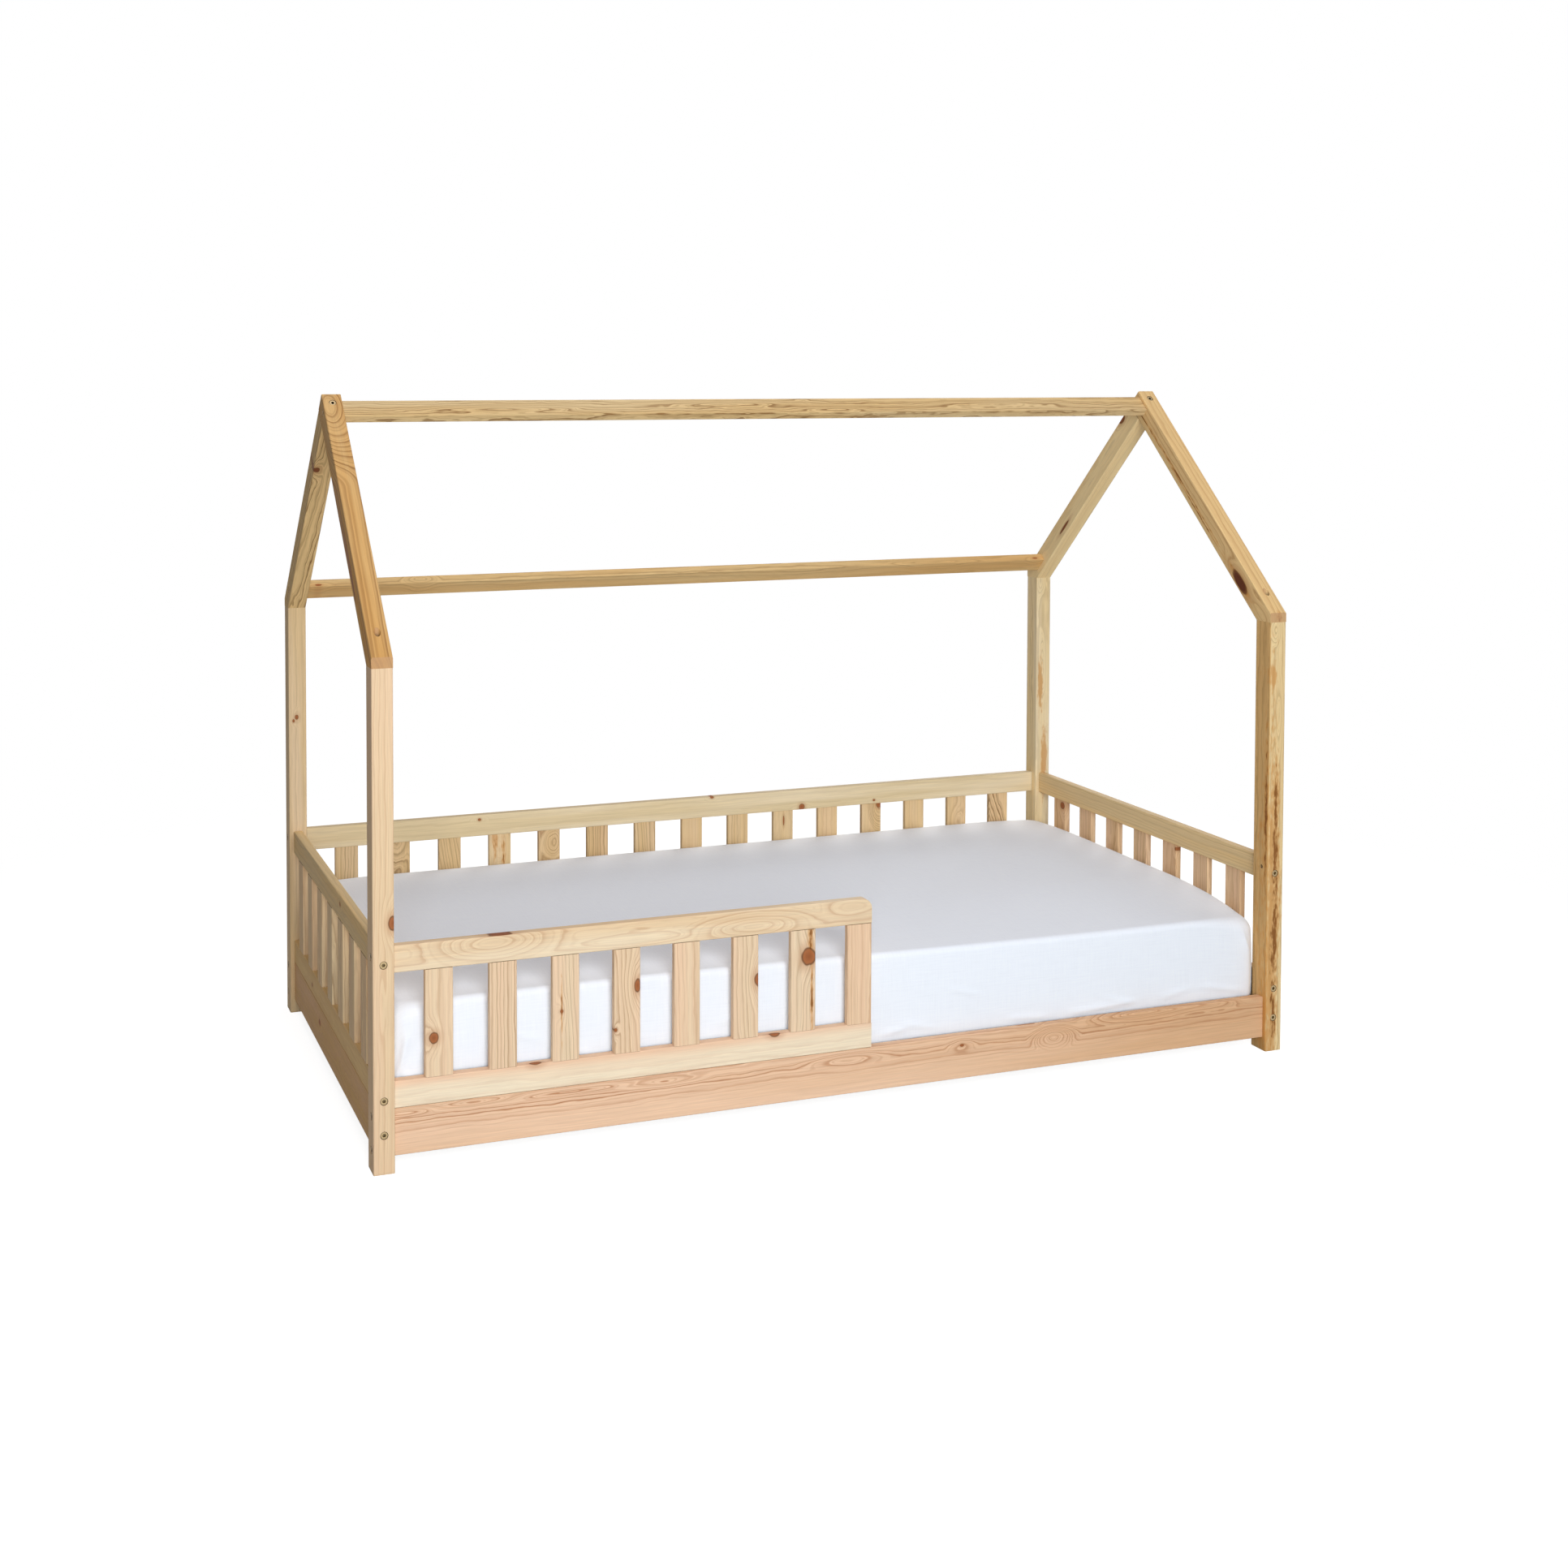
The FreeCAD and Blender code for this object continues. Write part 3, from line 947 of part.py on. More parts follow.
make_mattress()

doc.recompute()
for thing in doc.Objects:
    if "Invalid" in thing.State or "Error" in thing.State:
        raise RuntimeError(f"{thing.Label} could not be built: {thing.State}")
for node in nodes:
    if node.Shape.isNull() or not node.Shape.isValid():
        raise RuntimeError(f"{node.Label} has no valid shape")

os.makedirs("parts", exist_ok=True)
for node in nodes:
    node.Shape.exportStep(f"parts/{node.Label}.step")
    print(node.Label, len(node.Shape.Solids), round(node.Shape.Volume))
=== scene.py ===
import math
from collections import namedtuple

import bpy
import numpy as np
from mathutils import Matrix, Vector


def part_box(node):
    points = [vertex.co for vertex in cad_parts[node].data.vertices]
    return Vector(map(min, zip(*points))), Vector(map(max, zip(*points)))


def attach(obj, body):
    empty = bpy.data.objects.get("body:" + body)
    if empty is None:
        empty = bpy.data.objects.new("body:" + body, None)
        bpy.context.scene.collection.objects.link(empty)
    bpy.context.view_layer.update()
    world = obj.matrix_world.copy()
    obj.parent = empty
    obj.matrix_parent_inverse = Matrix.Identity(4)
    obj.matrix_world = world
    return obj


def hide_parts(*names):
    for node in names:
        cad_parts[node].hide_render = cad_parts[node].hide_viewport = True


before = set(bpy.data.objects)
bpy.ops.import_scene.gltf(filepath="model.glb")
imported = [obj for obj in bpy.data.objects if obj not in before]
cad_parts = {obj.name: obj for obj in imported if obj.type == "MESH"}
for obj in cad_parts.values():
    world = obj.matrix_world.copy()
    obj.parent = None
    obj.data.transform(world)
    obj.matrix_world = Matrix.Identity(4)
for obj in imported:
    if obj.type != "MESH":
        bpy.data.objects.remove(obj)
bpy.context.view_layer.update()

bl_info = {
    "name": "House bed",
    "version": (1, 0, 0),
    "blender": (4, 5, 0),
    "location": "View3D > Sidebar > House bed",
    "description": "Dresses a pine house bed: boards, fittings, mattress, fitted sheet and stage",
    "category": "Object",
}

MM = 0.001
QUARTER = math.pi / 2
ROOF_PITCH = math.radians(43.7)
WHITE = (1.0, 1.0, 1.0)
SMOOTH_STEP = {"interpolation_type": "SMOOTHSTEP"}
ENDS = ("front_left", "front_right", "back_left", "back_right")
SIDES = ("front", "back", "left", "right")


def linear(code):
    """A colour written as sRGB hex, as linear red, green and blue."""
    parts = np.array([int(code[i:i + 2], 16) for i in (1, 3, 5)]) / 255.0
    low = parts / 12.92
    high = ((parts + 0.055) / 1.055) ** 2.4
    return tuple(float(v) for v in np.where(parts <= 0.04045, low, high))


def tint(label, text, code):
    """A colour property with its name, its description and its sRGB default."""
    return bpy.props.FloatVectorProperty(
        name=label, description=text, subtype="COLOR", size=3, min=0.0, max=1.0, default=linear(code))


def length(label, text, millimetres):
    """A length property, given in millimetres and kept in metres."""
    return bpy.props.FloatProperty(
        name=label, description=text, unit="LENGTH", subtype="DISTANCE", min=0.0, precision=4,
        default=millimetres * MM)


class PineColours(bpy.types.PropertyGroup):
    """Tones of the planed pine boards and of their knots."""

    pale: tint("Pale sapwood", "Almost white outer wood", "#F6E6C9")
    cream: tint("Cream", "Ordinary pale board", "#EACDA6")
    straw: tint("Straw", "Slightly yellower board", "#E0CAA0")
    honey: tint("Honey", "Warm golden board", "#DFBE87")
    gold: tint("Gold", "Bright golden rafter", "#EFCB90")
    butter: tint("Butter", "Pale golden board", "#F8DDA8")
    tan: tint("Tan", "Brownish side of a board", "#DBB175")
    amber: tint("Amber", "Resin-rich rafter wood", "#D39F5C")
    rose: tint("Rose", "Pinkish heartwood", "#F2CCAB")
    copper: tint("Copper", "Reddish brown heartwood", "#E3B78D")
    line_brown: tint("Brown line", "Summer wood of a golden board", "#7F5526")
    line_red: tint("Red line", "Summer wood of a pinkish board", "#AE6A3A")
    line_amber: tint("Amber line", "Summer wood of a resin-rich rafter", "#A05E1F")
    resin: tint("Resin", "Dark resin streak", "#7C4614")
    stain: tint("Stain", "Resin-soaked wood round a streak", "#CF9048")
    end_grain: tint("End grain", "Cross-cut end of a board", "#C4986F")
    knot_heart: tint("Knot", "Middle of a sound knot", "#AC6539")
    knot_rim: tint("Knot rim", "Bark ring round a knot", "#6A4022")
    knot_dark: tint("Dark knot", "Middle of a dead knot", "#5A2C18")


class PineGrain(bpy.types.PropertyGroup):
    """Sizes of the pine's figure."""

    drift_run: length("Drift length", "Length of board over which the heart wanders", 420.0)
    drift_across: length("Drift width", "Width over which the heart wanders", 160.0)
    ripple_run: length("Ripple length", "Length of one small wave in a growth line", 70.0)
    ripple_across: length("Ripple width", "Width of one small wave in a growth line", 16.0)
    speck_run: length("Speck length", "Length of one speck in a streak of resin", 18.0)
    speck_across: length("Speck width", "Width of one speck in a streak of resin", 5.0)
    fibre_run: length("Fibre length", "Length of a fibre streak", 90.0)
    fibre_across: length("Fibre width", "Width of a fibre streak, drawn coarse enough to show", 2.4)
    relief: length("Relief", "Height of the summer wood above the spring wood", 0.15)


class BeddingSizes(bpy.types.PropertyGroup):
    """Sizes and colours of the mattress and its fitted sheet."""

    crown: length("Crown", "Rise of the middle above the edge", 8.0)
    corner: length("Corner radius", "Plan radius of the four corners", 34.0)
    edge_top: length("Top edge radius", "Rounding of the upper edge", 14.0)
    edge_low: length("Lower edge radius", "Rounding of the lower edge", 14.0)
    corner_soft: length("Corner softness", "Extra rounding of the upper edge at a corner", 20.0)
    corner_reach: length("Corner reach", "How far from a corner the softness is felt", 90.0)
    corner_ease: length("Corner easing", "Length of edge over which a corner turns", 50.0)
    corner_sag: length("Corner sag", "How far the top sinks at a corner", 9.0)
    front_sag: length("Front sag", "How far the top sinks at the open front edge", 14.0)
    bow: length("Bow", "How far the sides bow out at half height", 2.0)
    tuck: length("Tuck", "Sheet that lies under the mattress", 90.0)
    cloth: length("Cloth", "Thickness of the sheet", 0.6)
    fold: length("Fold height", "Height of the larger folds in the sheet", 4.0)
    end_slack: length("End slack", "How far the sheet stands off the right end of the mattress", 5.0)
    end_reach: length("End reach", "Length of sheet over which it leaves the right end", 90.0)
    cotton: tint("Cotton", "White cotton of the sheet", "#F4F8FF")
    ticking: tint("Ticking", "Unbleached mattress cover", "#E7E4DC")
    ticking_line: tint("Ticking stripe", "Woven stripe in the mattress cover", "#C9CDD2")


class FittingColours(bpy.types.PropertyGroup):
    """Colours of the bolts, inserts and dowels."""

    zinc: tint("Zinc", "Yellow passivated zinc plating", "#B49E78")
    # Painted shade: this colour is mixed into sunk bolt heads where ambient occlusion finds them.
    recess: tint("Recess", "Shaded socket and sunk rim of a bolt", "#2E2618")
    brass: tint("Brass", "Turned brass of the inserts", "#C2A35C")
    beech: tint("Beech", "Turned beech of the dowels", "#D9B285")


class StageSettings(bpy.types.PropertyGroup):
    """Camera, floor and studio light."""

    lens: bpy.props.FloatProperty(
        name="Lens", description="Focal length of the camera", unit="CAMERA", default=43.50)
    floor: tint("Floor", "Pale studio floor", "#BFBDBA")
    ambient: bpy.props.FloatProperty(
        name="Ambient", description="Even light from the white room", min=0.0, default=0.09)
    key: bpy.props.FloatProperty(
        name="Key light", description="Power of the large soft box in front", unit="POWER", default=216.0)
    top: bpy.props.FloatProperty(
        name="Top light", description="Power of the soft box overhead", unit="POWER", default=74.0)
    back: bpy.props.FloatProperty(
        name="Back light", description="Power of the soft box behind the far corner", unit="POWER",
        default=130.0)


def feed(tree, node, inputs):
    """Links or fills a node's inputs, given by name or number, or as a row from the first one on."""
    for key, value in inputs.items() if isinstance(inputs, dict) else enumerate(inputs):
        socket = node.inputs[key]
        if isinstance(value, bpy.types.NodeSocket):
            tree.links.new(value, socket)
        elif socket.type == "RGBA":
            socket.default_value = (*value, 1.0)
        else:
            socket.default_value = value


def add(tree, kind, inputs=(), out=0, ramp=(), **settings):
    """Adds one shader node with its settings, inputs and ramp stops, and returns one output, or the node."""
    node = tree.nodes.new("ShaderNode" + kind)
    for key, value in settings.items():
        setattr(node, key, value)
    feed(tree, node, inputs)
    if ramp:
        stops = node.color_ramp.elements
        while len(stops) < len(ramp):
            stops.new(1.0)
        for stop, (place, value) in zip(stops, ramp):
            stop.position = place
            stop.color = (*value, 1.0)
    return node if out is None else node.outputs[out]


def bare_tree(owner):
    """The emptied node tree of a material or of the world."""
    owner.use_nodes = True
    owner.node_tree.nodes.clear()
    return owner.node_tree


def material(name):
    """A new node material with nothing but its Principled shader, as (material, node tree, shader)."""
    made = bpy.data.materials.new(name)
    tree = bare_tree(made)
    shader = add(tree, "BsdfPrincipled", out=None)
    add(tree, "OutputMaterial", {"Surface": shader.outputs[0]}, out=None)
    return made, tree, shader


def stretched_noise(tree, place, sizes, detail, out="Fac", seed=(0.0, 0.0, 0.0)):
    """Noise whose grains have the given lengths along the three axes of a place."""
    scaled = add(tree, "Mapping", {"Vector": place, "Location": seed, "Scale": [1 / size for size in sizes]})
    return add(tree, "TexNoise", {"Vector": scaled, "Scale": 1.0, "Detail": detail}, out)


def dress(node, made):
    """Gives a CAD node one material."""
    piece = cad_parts[node]
    piece.data.materials.clear()
    piece.data.materials.append(made)


# Depth of a knot through a board, in mm, and how much further lines swing round it along than across.
DEEP = 70.0
LONG_SWELL = 2.2

# How a board lies: its own x runs along it, y through its thickness and z across its width.
RUNS = {
    "along": (0.0, 0.0, 0.0),
    "across": (0.0, 0.0, QUARTER),
    "up": (0.0, -QUARTER, 0.0),
    "front slope": (0.0, -ROOF_PITCH, QUARTER),
    "back slope": (0.0, -ROOF_PITCH, -QUARTER),
    "ridge": (ROOF_PITCH, 0.0, 0.0),
    "eave": (-ROOF_PITCH, 0.0, 0.0),
}

# A knot or mark, in mm: its place, the radii of its core and of the swell round it, the rings in that swell,
# the radii of a resin streak and of a stain, and how dark the core is from 0 to 1.
Knot = namedtuple("Knot", "at core swell rings streak glow dark",
                  defaults=(None, None, 0.0, None, None, 0.0))
Board = namedtuple("Board", "run tone line pith spacing strength seed sway ripple lean patch knots turn fade",
                   defaults=(10.0, 0.5, (0.0, 0.0), "rose", (), None, None))
Row = namedtuple("Row", "axis start pitch middle spacing tone seed sway ripple patch knots looks turn fade",
                 defaults=(None, None))
Look = namedtuple("Look", "behind beside pale strength lean red")
# What a board's figure needs besides: place on the board and for knots, how far a face looks along the run,
# heart, lean, tones of wood and lines, strength of the lines, and shift of the noises.
Figure = namedtuple("Figure", "local knot_place facing pith lean tone line strength seed")


def face_knot(x, z, size, stretch=1.3, reach=4.0, rings=3.0, y=-10.0):
    """A knot seen on a board's broad face: place in mm, size in mm, and how far the lines swing round it."""
    swell = (size * reach * LONG_SWELL, DEEP, size * reach)
    return Knot((x, y, z), (size * stretch, DEEP, size), swell, rings)


def edge_knot(x, y, z, size, stretch=1.3, reach=4.0, rings=3.0, deep=DEEP):
    """A knot seen on a board's edge or on a rafter's upper or lower face."""
    swell = (size * reach * LONG_SWELL, size * reach, deep)
    return Knot((x, y, z), (size * stretch, size, deep), swell, rings)


def swirl(x, z, run, across, rings, y=-10.0):
    """Closed contour lines with no knot in them, as a board cut through a bulge in the trunk shows."""
    return Knot((x, y, z), None, (run, DEEP, across), rings)


def edge_swirl(x, y, z, run, across, rings):
    """The same on a rafter's or beam's upper or lower face."""
    return Knot((x, y, z), None, (run, across, DEEP), rings)


def resin(x, z, run, across, y=-24.0):
    """A dark ragged streak of resin along the grain."""
    return Knot((x, y, z), None, None, 0.0, (run, DEEP, across))


def slat_knot(x, z, size, stretch=1.2, reach=3.5, rings=3.0, y=-473.0):
    """A knot in one slat of a row, placed by the bed's own x and z in mm."""
    swell = (size * reach, DEEP, size * reach * LONG_SWELL)
    return Knot((x, y, z), (size, DEEP, size * stretch), swell, rings)


def slat_swirl(x, z, across, run, rings, y=-473.0):
    """Contour lines round a point of one slat, with no knot in them."""
    return Knot((x, y, z), None, (across, DEEP, run), rings)


# Each board: how it lies, tone, line tone, heart behind and beside the middle, ring spacing, line strength
# and seed. Real rings are 3 to 6 mm apart; they are drawn wider, so that they show on the whole bed.
BOARDS = {
    "post_front_left": Board(
        "up", "cream", "line_red", (30, 80), 10.0, 0.30, 1.3, sway=6, ripple=0.3, lean=(0, 6), knots=(
            face_knot(-2, -18, 8, 1.7, 3.6, 3.0, -24), swirl(-150, 6, 130, 12, 1.0, -24))),
    "post_front_right": Board(
        "up", "butter", "line_brown", (-60, -70), 12.0, 0.50, 4.1, sway=12, ripple=0.5, patch="tan",
        turn=(2, 17, 19.5), knots=(
            swirl(447, 4, 46, 18, 3, -24), swirl(262, -6, 100, 14, 2, -24), swirl(150, 8, 120, 12, -2, -24),
            resin(70, 0, 90, 8), resin(-60, 1, 130, 10), resin(-220, 1, 150, 11), resin(-380, 2, 110, 10),
            Knot((348, -24, 11), glow=(22, 30, 8)), Knot((60, -17, 20), streak=(170, 5, 6)),
            Knot((-390, -12, 20), glow=(90, 14, 6)), Knot((250, -18, -20), streak=(230, 4, 4)),
            Knot((-230, -24, 9), glow=(420, 30, 11)))),
    "post_back_left": Board(
        "up", "cream", "line_brown", (44, 70), 9.5, 0.25, 7.7, sway=8, ripple=0.4, patch="honey", knots=(
            face_knot(214, 2, 4.0, 1.4, 3.0, 2.0, -24), face_knot(206, 9, 2.5, 1.4, 3.0, 1.0, -24))),
    "post_back_right": Board(
        "up", "butter", "line_brown", (46, -8), 10.0, 0.35, 11.9, sway=14, ripple=0.6, patch="pale", knots=(
            swirl(456, 9, 50, 15, 2, -24), swirl(230, 2, 110, 14, 3, -24),
            Knot((190, -24, 8), glow=(60, 30, 6)), Knot((-20, -24, -4), glow=(80, 30, 7)))),
    "bed_rail_front": Board(
        "along", "rose", "line_red", (14, 70), 9.5, 0.90, 2.2, sway=10, ripple=0.5, lean=(0, -6),
        patch="copper", turn=(0, -100, 1000), fade=(-16, 18, 0.12), knots=(
            swirl(-930, 34, 90, 10, 2), swirl(-800, 36, 110, 12, -2), swirl(-610, 34, 150, 10, 2),
            swirl(-420, 28, 120, 14, -2), swirl(-32, 26, 130, 20, 3), face_knot(220, 24, 2.6, 1.6, 8.0, 2.0),
            swirl(434, 18, 70, 34, 7), swirl(650, 46, 200, 26, 6), swirl(820, 46, 130, 22, 3))),
    "bed_rail_back": Board(
        "along", "rose", "line_red", (60, 30), 10.0, 0.45, 23.1, sway=14, ripple=0.8, patch="cream", knots=(
            face_knot(-320, -14, 7), face_knot(510, 12, 5), swirl(120, 8, 180, 26, 4))),
    "bed_rail_left": Board(
        "across", "tan", "line_red", (-60, 18), 10.0, 0.35, 31.4, sway=14, ripple=0.8, patch="copper", knots=(
            face_knot(120, 10, 6, y=10.0), swirl(-200, 4, 150, 22, 3, 10.0))),
    "bed_rail_right": Board(
        "across", "rose", "line_red", (60, -12), 10.0, 0.45, 37.6, sway=14, ripple=0.8, knots=(
            face_knot(-160, 4, 6, y=10.0), swirl(190, -6, 150, 24, 3, 10.0))),
    "front_guard_top_rail": Board(
        "along", "cream", "line_red", (46, 10), 10.0, 0.40, 5.3, sway=6, ripple=0.25, patch="pale", knots=(
            swirl(-295, 12, 170, 46, 5), swirl(230, -6, 170, 34, 4), swirl(-20, -10, 150, 16, -1.5),
            swirl(440, 12, 90, 24, 1.5),
            Knot((-280, 0, 25.4), (22, DEEP, 1.2), dark=0.6))),
    "front_guard_bottom_rail": Board(
        "along", "pale", "line_red", (30, 110), 22.0, 0.18, 8.8, sway=10, ripple=0.4, patch="rose",
        turn=(2, 2, 30), knots=(
            edge_knot(-213, -5, 25, 5.0, 2.4, 1.6, 0.5, 6.0),
            edge_knot(274, -7, 25, 5.0, 2.4, 1.6, 0.5, 6.0))),
    "back_guard_top_rail": Board(
        "along", "straw", "line_brown", (46, 60), 12.0, 0.12, 13.5, sway=9, ripple=0.4, patch="pale", knots=(
            face_knot(-540, 14, 3.0, 1.2), face_knot(292, -18, 7.0, 1.0, 2.5, 1.0),
            face_knot(50, 24, 3.0, 1.4), face_knot(492, -16, 2.5, 1.2))),
    "back_guard_bottom_rail": Board("along", "straw", "line_brown", (52, -10), 9.0, 0.35, 17.9, knots=(
        face_knot(-160, 6, 5), face_knot(620, -8, 4))),
    "left_guard_top_rail": Board(
        "across", "gold", "line_brown", (-50, 40), 10.0, 0.30, 19.4, patch="straw", knots=(
            face_knot(-120, 8, 4, y=10.0),)),
    "left_guard_bottom_rail": Board(
        "across", "gold", "line_red", (-48, -8), 9.0, 0.35, 27.2, patch="tan", knots=(
            face_knot(210, -6, 4, y=10.0),)),
    "right_guard_top_rail": Board(
        "across", "gold", "line_brown", (30, 70), 9.0, 0.35, 41.3, sway=6, ripple=0.4, patch="straw"),
    "right_guard_bottom_rail": Board("across", "cream", "line_red", (48, 10), 9.0, 0.35, 43.8, knots=(
        face_knot(-40, 8, 5, y=10.0),)),
    "rafter_front_left": Board(
        "front slope", "amber", "resin", (50, -14), 14.0, 1.0, 47.1, sway=5, ripple=0.12, lean=(10, 0),
        patch="honey", knots=(edge_swirl(300, 16, 19, 230, 100, 11.0),)),
    "rafter_front_right": Board(
        "front slope", "gold", "line_amber", (70, -34), 11.0, 0.50, 53.9, sway=8, ripple=0.4,
        patch="honey", knots=(
            Knot((-231, 20, -12), (32, DEEP, 11), (110, DEEP, 34), 3.0, (48, DEEP, 7), None, 1.0),
            resin(60, -10, 200, 2.0, 20), resin(-30, -16, 150, 1.8, 20), resin(220, -13, 140, 1.6, 20),
            swirl(-330, -8, 70, 26, 3.0, 20), Knot((-352, -3, 8), streak=(12, 5, 40)))),
    "rafter_back_left": Board(
        "back slope", "gold", "line_brown", (-26, -6), 8.0, 1.0, 59.2, sway=9, ripple=0.7, lean=(0, 60),
        patch="honey", knots=(
            Knot((178, -14, -28), (8, 7, DEEP), (46, 22, DEEP), 2.0, None, None, 0.7),)),
    "rafter_back_right": Board(
        "back slope", "butter", "line_brown", (80, 12), 12.0, 0.18, 61.7, sway=8, ripple=0.4,
        patch="gold", knots=(
            Knot((-110, -20, -13), (26, DEEP, 3.2), (60, DEEP, 14), 1.0, None, None, 0.7),
            Knot((262, -20, 17), (13, DEEP, 8), (60, DEEP, 24), 2.0, None, None, 0.5))),
    "ridge_beam": Board(
        "ridge", "honey", "line_brown", (40, -14), 7.0, 1.0, 67.3, sway=9, ripple=0.8, lean=(8, 0),
        patch="straw", knots=(
            edge_swirl(-620, -4, 10, 240, 16, 3.0), edge_swirl(-120, 6, 10, 260, 14, 2.0),
            edge_swirl(150, -12, 10, 120, 10, 2.0), edge_swirl(560, 2, 10, 260, 14, 2.0))),
    "eave_beam": Board(
        "eave", "honey", "line_brown", (30, 34), 11.0, 0.45, 71.5, sway=12, ripple=0.4, patch="amber", knots=(
            Knot((-926, -22, -6), (7, DEEP, 2.5), (40, DEEP, 12), 1.0),
            Knot((925, -22, -4), (7, DEEP, 2.5), (40, DEEP, 12), 1.0),
            swirl(-690, 2, 60, 20, 3.0, -22), swirl(640, -4, 160, 12, 3.0, -22))),
    "ledger_front": Board("along", "straw", "line_brown", (50, 20), 9.0, 0.40, 73.3),
    "ledger_back": Board("along", "straw", "line_brown", (-50, 16), 9.0, 0.40, 79.6),
}

# Each slat's look: heart behind and beside it in mm, paleness and line strength from 0 to 1, lean of the
# grain in mm per metre, and how red its lines are from 0 to 1.
FRONT_LOOKS = (
    Look(70, 46, 0.55, 0.45, 10, 0.6),
    Look(20, 62, 0.55, 0.70, 12, 0.3),
    Look(26, 66, 0.85, 0.50, 30, 0.2),
    Look(50, -56, 0.45, 0.60, 40, 0.6),
    Look(74, 52, 0.55, 0.50, 0, 0.9),
    Look(46, -56, 0.65, 0.50, 30, 0.5),
    Look(46, 56, 1.00, 0.50, 0, 0.2),
    Look(64, 60, 0.15, 0.45, 14, 1.0),
)
BACK_LOOKS = (
    Look(10, 66, 0.60, 0.60, 0, 0.0),
    Look(60, -8, 0.40, 0.90, 0, 0.0),
    Look(20, 60, 0.40, 0.80, 160, 0.0),
    Look(70, 20, 0.85, 0.20, 0, 1.0),
    Look(70, 10, 0.45, 0.85, 0, 0.4),
    Look(12, -64, 0.20, 1.00, 20, 0.1),
    Look(14, 62, 0.50, 0.65, 30, 0.1),
    Look(80, 50, 0.40, 0.15, 0, 1.0),
    Look(60, 62, 0.60, 0.60, 0, 0.2),
    Look(74, -10, 0.75, 0.30, 40, 0.1),
    Look(80, 40, 0.35, 0.25, 0, 0.8),
    Look(80, 0, 0.45, 1.00, 0, 0.1),
    Look(72, 54, 0.50, 0.30, 10, 0.3),
    Look(70, -30, 0.45, 0.50, 60, 0.4),
    Look(24, 44, 0.25, 1.00, 330, 0.0),
)
END_LOOKS = (
    Look(60, 30, 0.30, 0.50, 20, 0.5),
    Look(16, 62, 0.45, 0.55, 10, 0.2),
    Look(70, -20, 0.25, 0.45, 0, 0.8),
    Look(50, 44, 0.45, 0.55, 40, 0.3),
    Look(64, 8, 0.30, 0.55, 0, 0.5),
    Look(24, -60, 0.40, 0.50, 10, 0.3),
    Look(74, 36, 0.25, 0.55, 20, 0.6),
)
BASE_LOOKS = END_LOOKS + END_LOOKS[1:]

FRONT_KNOTS = (
    slat_knot(-875, 238, 9, 1.1, 2.6, 1.5),
    slat_knot(-629, 260, 3.0, 1.2, 6.0, 1.5), Knot((-629, -473, 260), streak=(1.4, DEEP, 50)),
    slat_knot(-478, 293, 6.0, 2.2, 6.0, 3.0), slat_knot(-522, 212, 3.0, 1.2, 4.0, 1.0),
    slat_knot(-227, 278, 10.0, 1.3, 3.4, 3.0), slat_knot(-121, 312, 15.0, 1.1, 2.2, 1.5),
    Knot((-117, -473, 350), streak=(5, DEEP, 40)), Knot((-114, -473, 236), streak=(2.4, DEEP, 80)))
BACK_KNOTS = (
    slat_swirl(-738, 372, 44, 80, 4.0, 473.0), slat_swirl(-488, 330, 26, 70, 3.0, 473.0),
    Knot((-500, 473, 346), streak=(5, DEEP, 30)), Knot((-480, 473, 312), streak=(4, DEEP, 36)),
    slat_swirl(-356, 335, 36, 60, 4.0, 473.0),
    slat_knot(245, 340, 2.0, 6.0, 6.0, 1.0, 473.0), slat_knot(509, 362, 8, 1.0, 4.5, 8.0, 473.0),
    slat_swirl(732, 300, 30, 60, 2.0, 473.0))

RIGHT_KNOTS = (
    Knot((966, -142, 355), (DEEP, 3, 4), (DEEP, 12, 26), 1.0),
    Knot((966, 338, 352), (DEEP, 9, 8), (DEEP, 26, 50), 3.0))

# Each row: how it runs, first slat, pitch, the slats' middle, ring spacing, tone, seed, sway, ripple, patch.
ROWS = {
    "front_guard_slats": Row(
        "x", -864.5, 122.0, (0.0, -473.0, 266.0), 8.0, "cream", 3.7, 9, 0.4, "rose",
        FRONT_KNOTS, FRONT_LOOKS),
    "back_guard_slats": Row(
        "x", -854.44, 122.06, (0.0, 473.0, 266.0), 7.5, "honey", 9.1, 9, 0.5, "honey",
        BACK_KNOTS, BACK_LOOKS),
    "left_guard_slats": Row(
        "y", -351.375, 117.125, (-973.0, 0.0, 266.0), 9.0, "butter", 15.3, 10, 0.5, "copper",
        (), END_LOOKS),
    "right_guard_slats": Row(
        "y", -351.375, 117.125, (973.0, 0.0, 266.0), 9.0, "tan", 21.7, 10, 0.5, "rose",
        RIGHT_KNOTS, END_LOOKS),
    "base_slats": Row(
        "lying", -885.0, 147.5, (0.0, 0.0, 91.0), 7.0, "straw", 25.9, 10, 0.5, "rose",
        (), BASE_LOOKS),
}

# Numbers of the axes along a row, along one of its slats and through the slat.
ROW_AXES = {"x": (0, 2, 1), "y": (1, 2, 0), "lying": (0, 1, 2)}

# A slat's heart place and lean are kept in a colour ramp as shares of these, in mm and in mm per metre.
HEART_REACH = 100.0
LEAN_REACH = 400.0

# How far the noises of two slats lie apart, and how much of a slat's tone is its row's.
SEED_STEP = 3.17
ROW_SHARE = 0.6

# Where a mark starts to fade and where it ends, in radii of its knot or streak, and its strength before that.
FADES = {
    "core": (0.75, 1.1, 0.95),
    "rim": (0.0, 0.24, 0.85),
    "halo": (0.9, 2.6, 0.35),
    "glow": (0.5, 1.6, 0.7),
    "streak": (0.1, 0.8, 0.85),
}

# How the summer wood darkens through one ring, and how many true rings lie in a drawn one.
SUMMER_RISE = ((0.0, 0.0), (0.36, 0.04), (0.68, 0.36), (0.84, 1.0), (0.94, 0.95), (1.0, 0.0))
TRUE_RINGS = 2.6


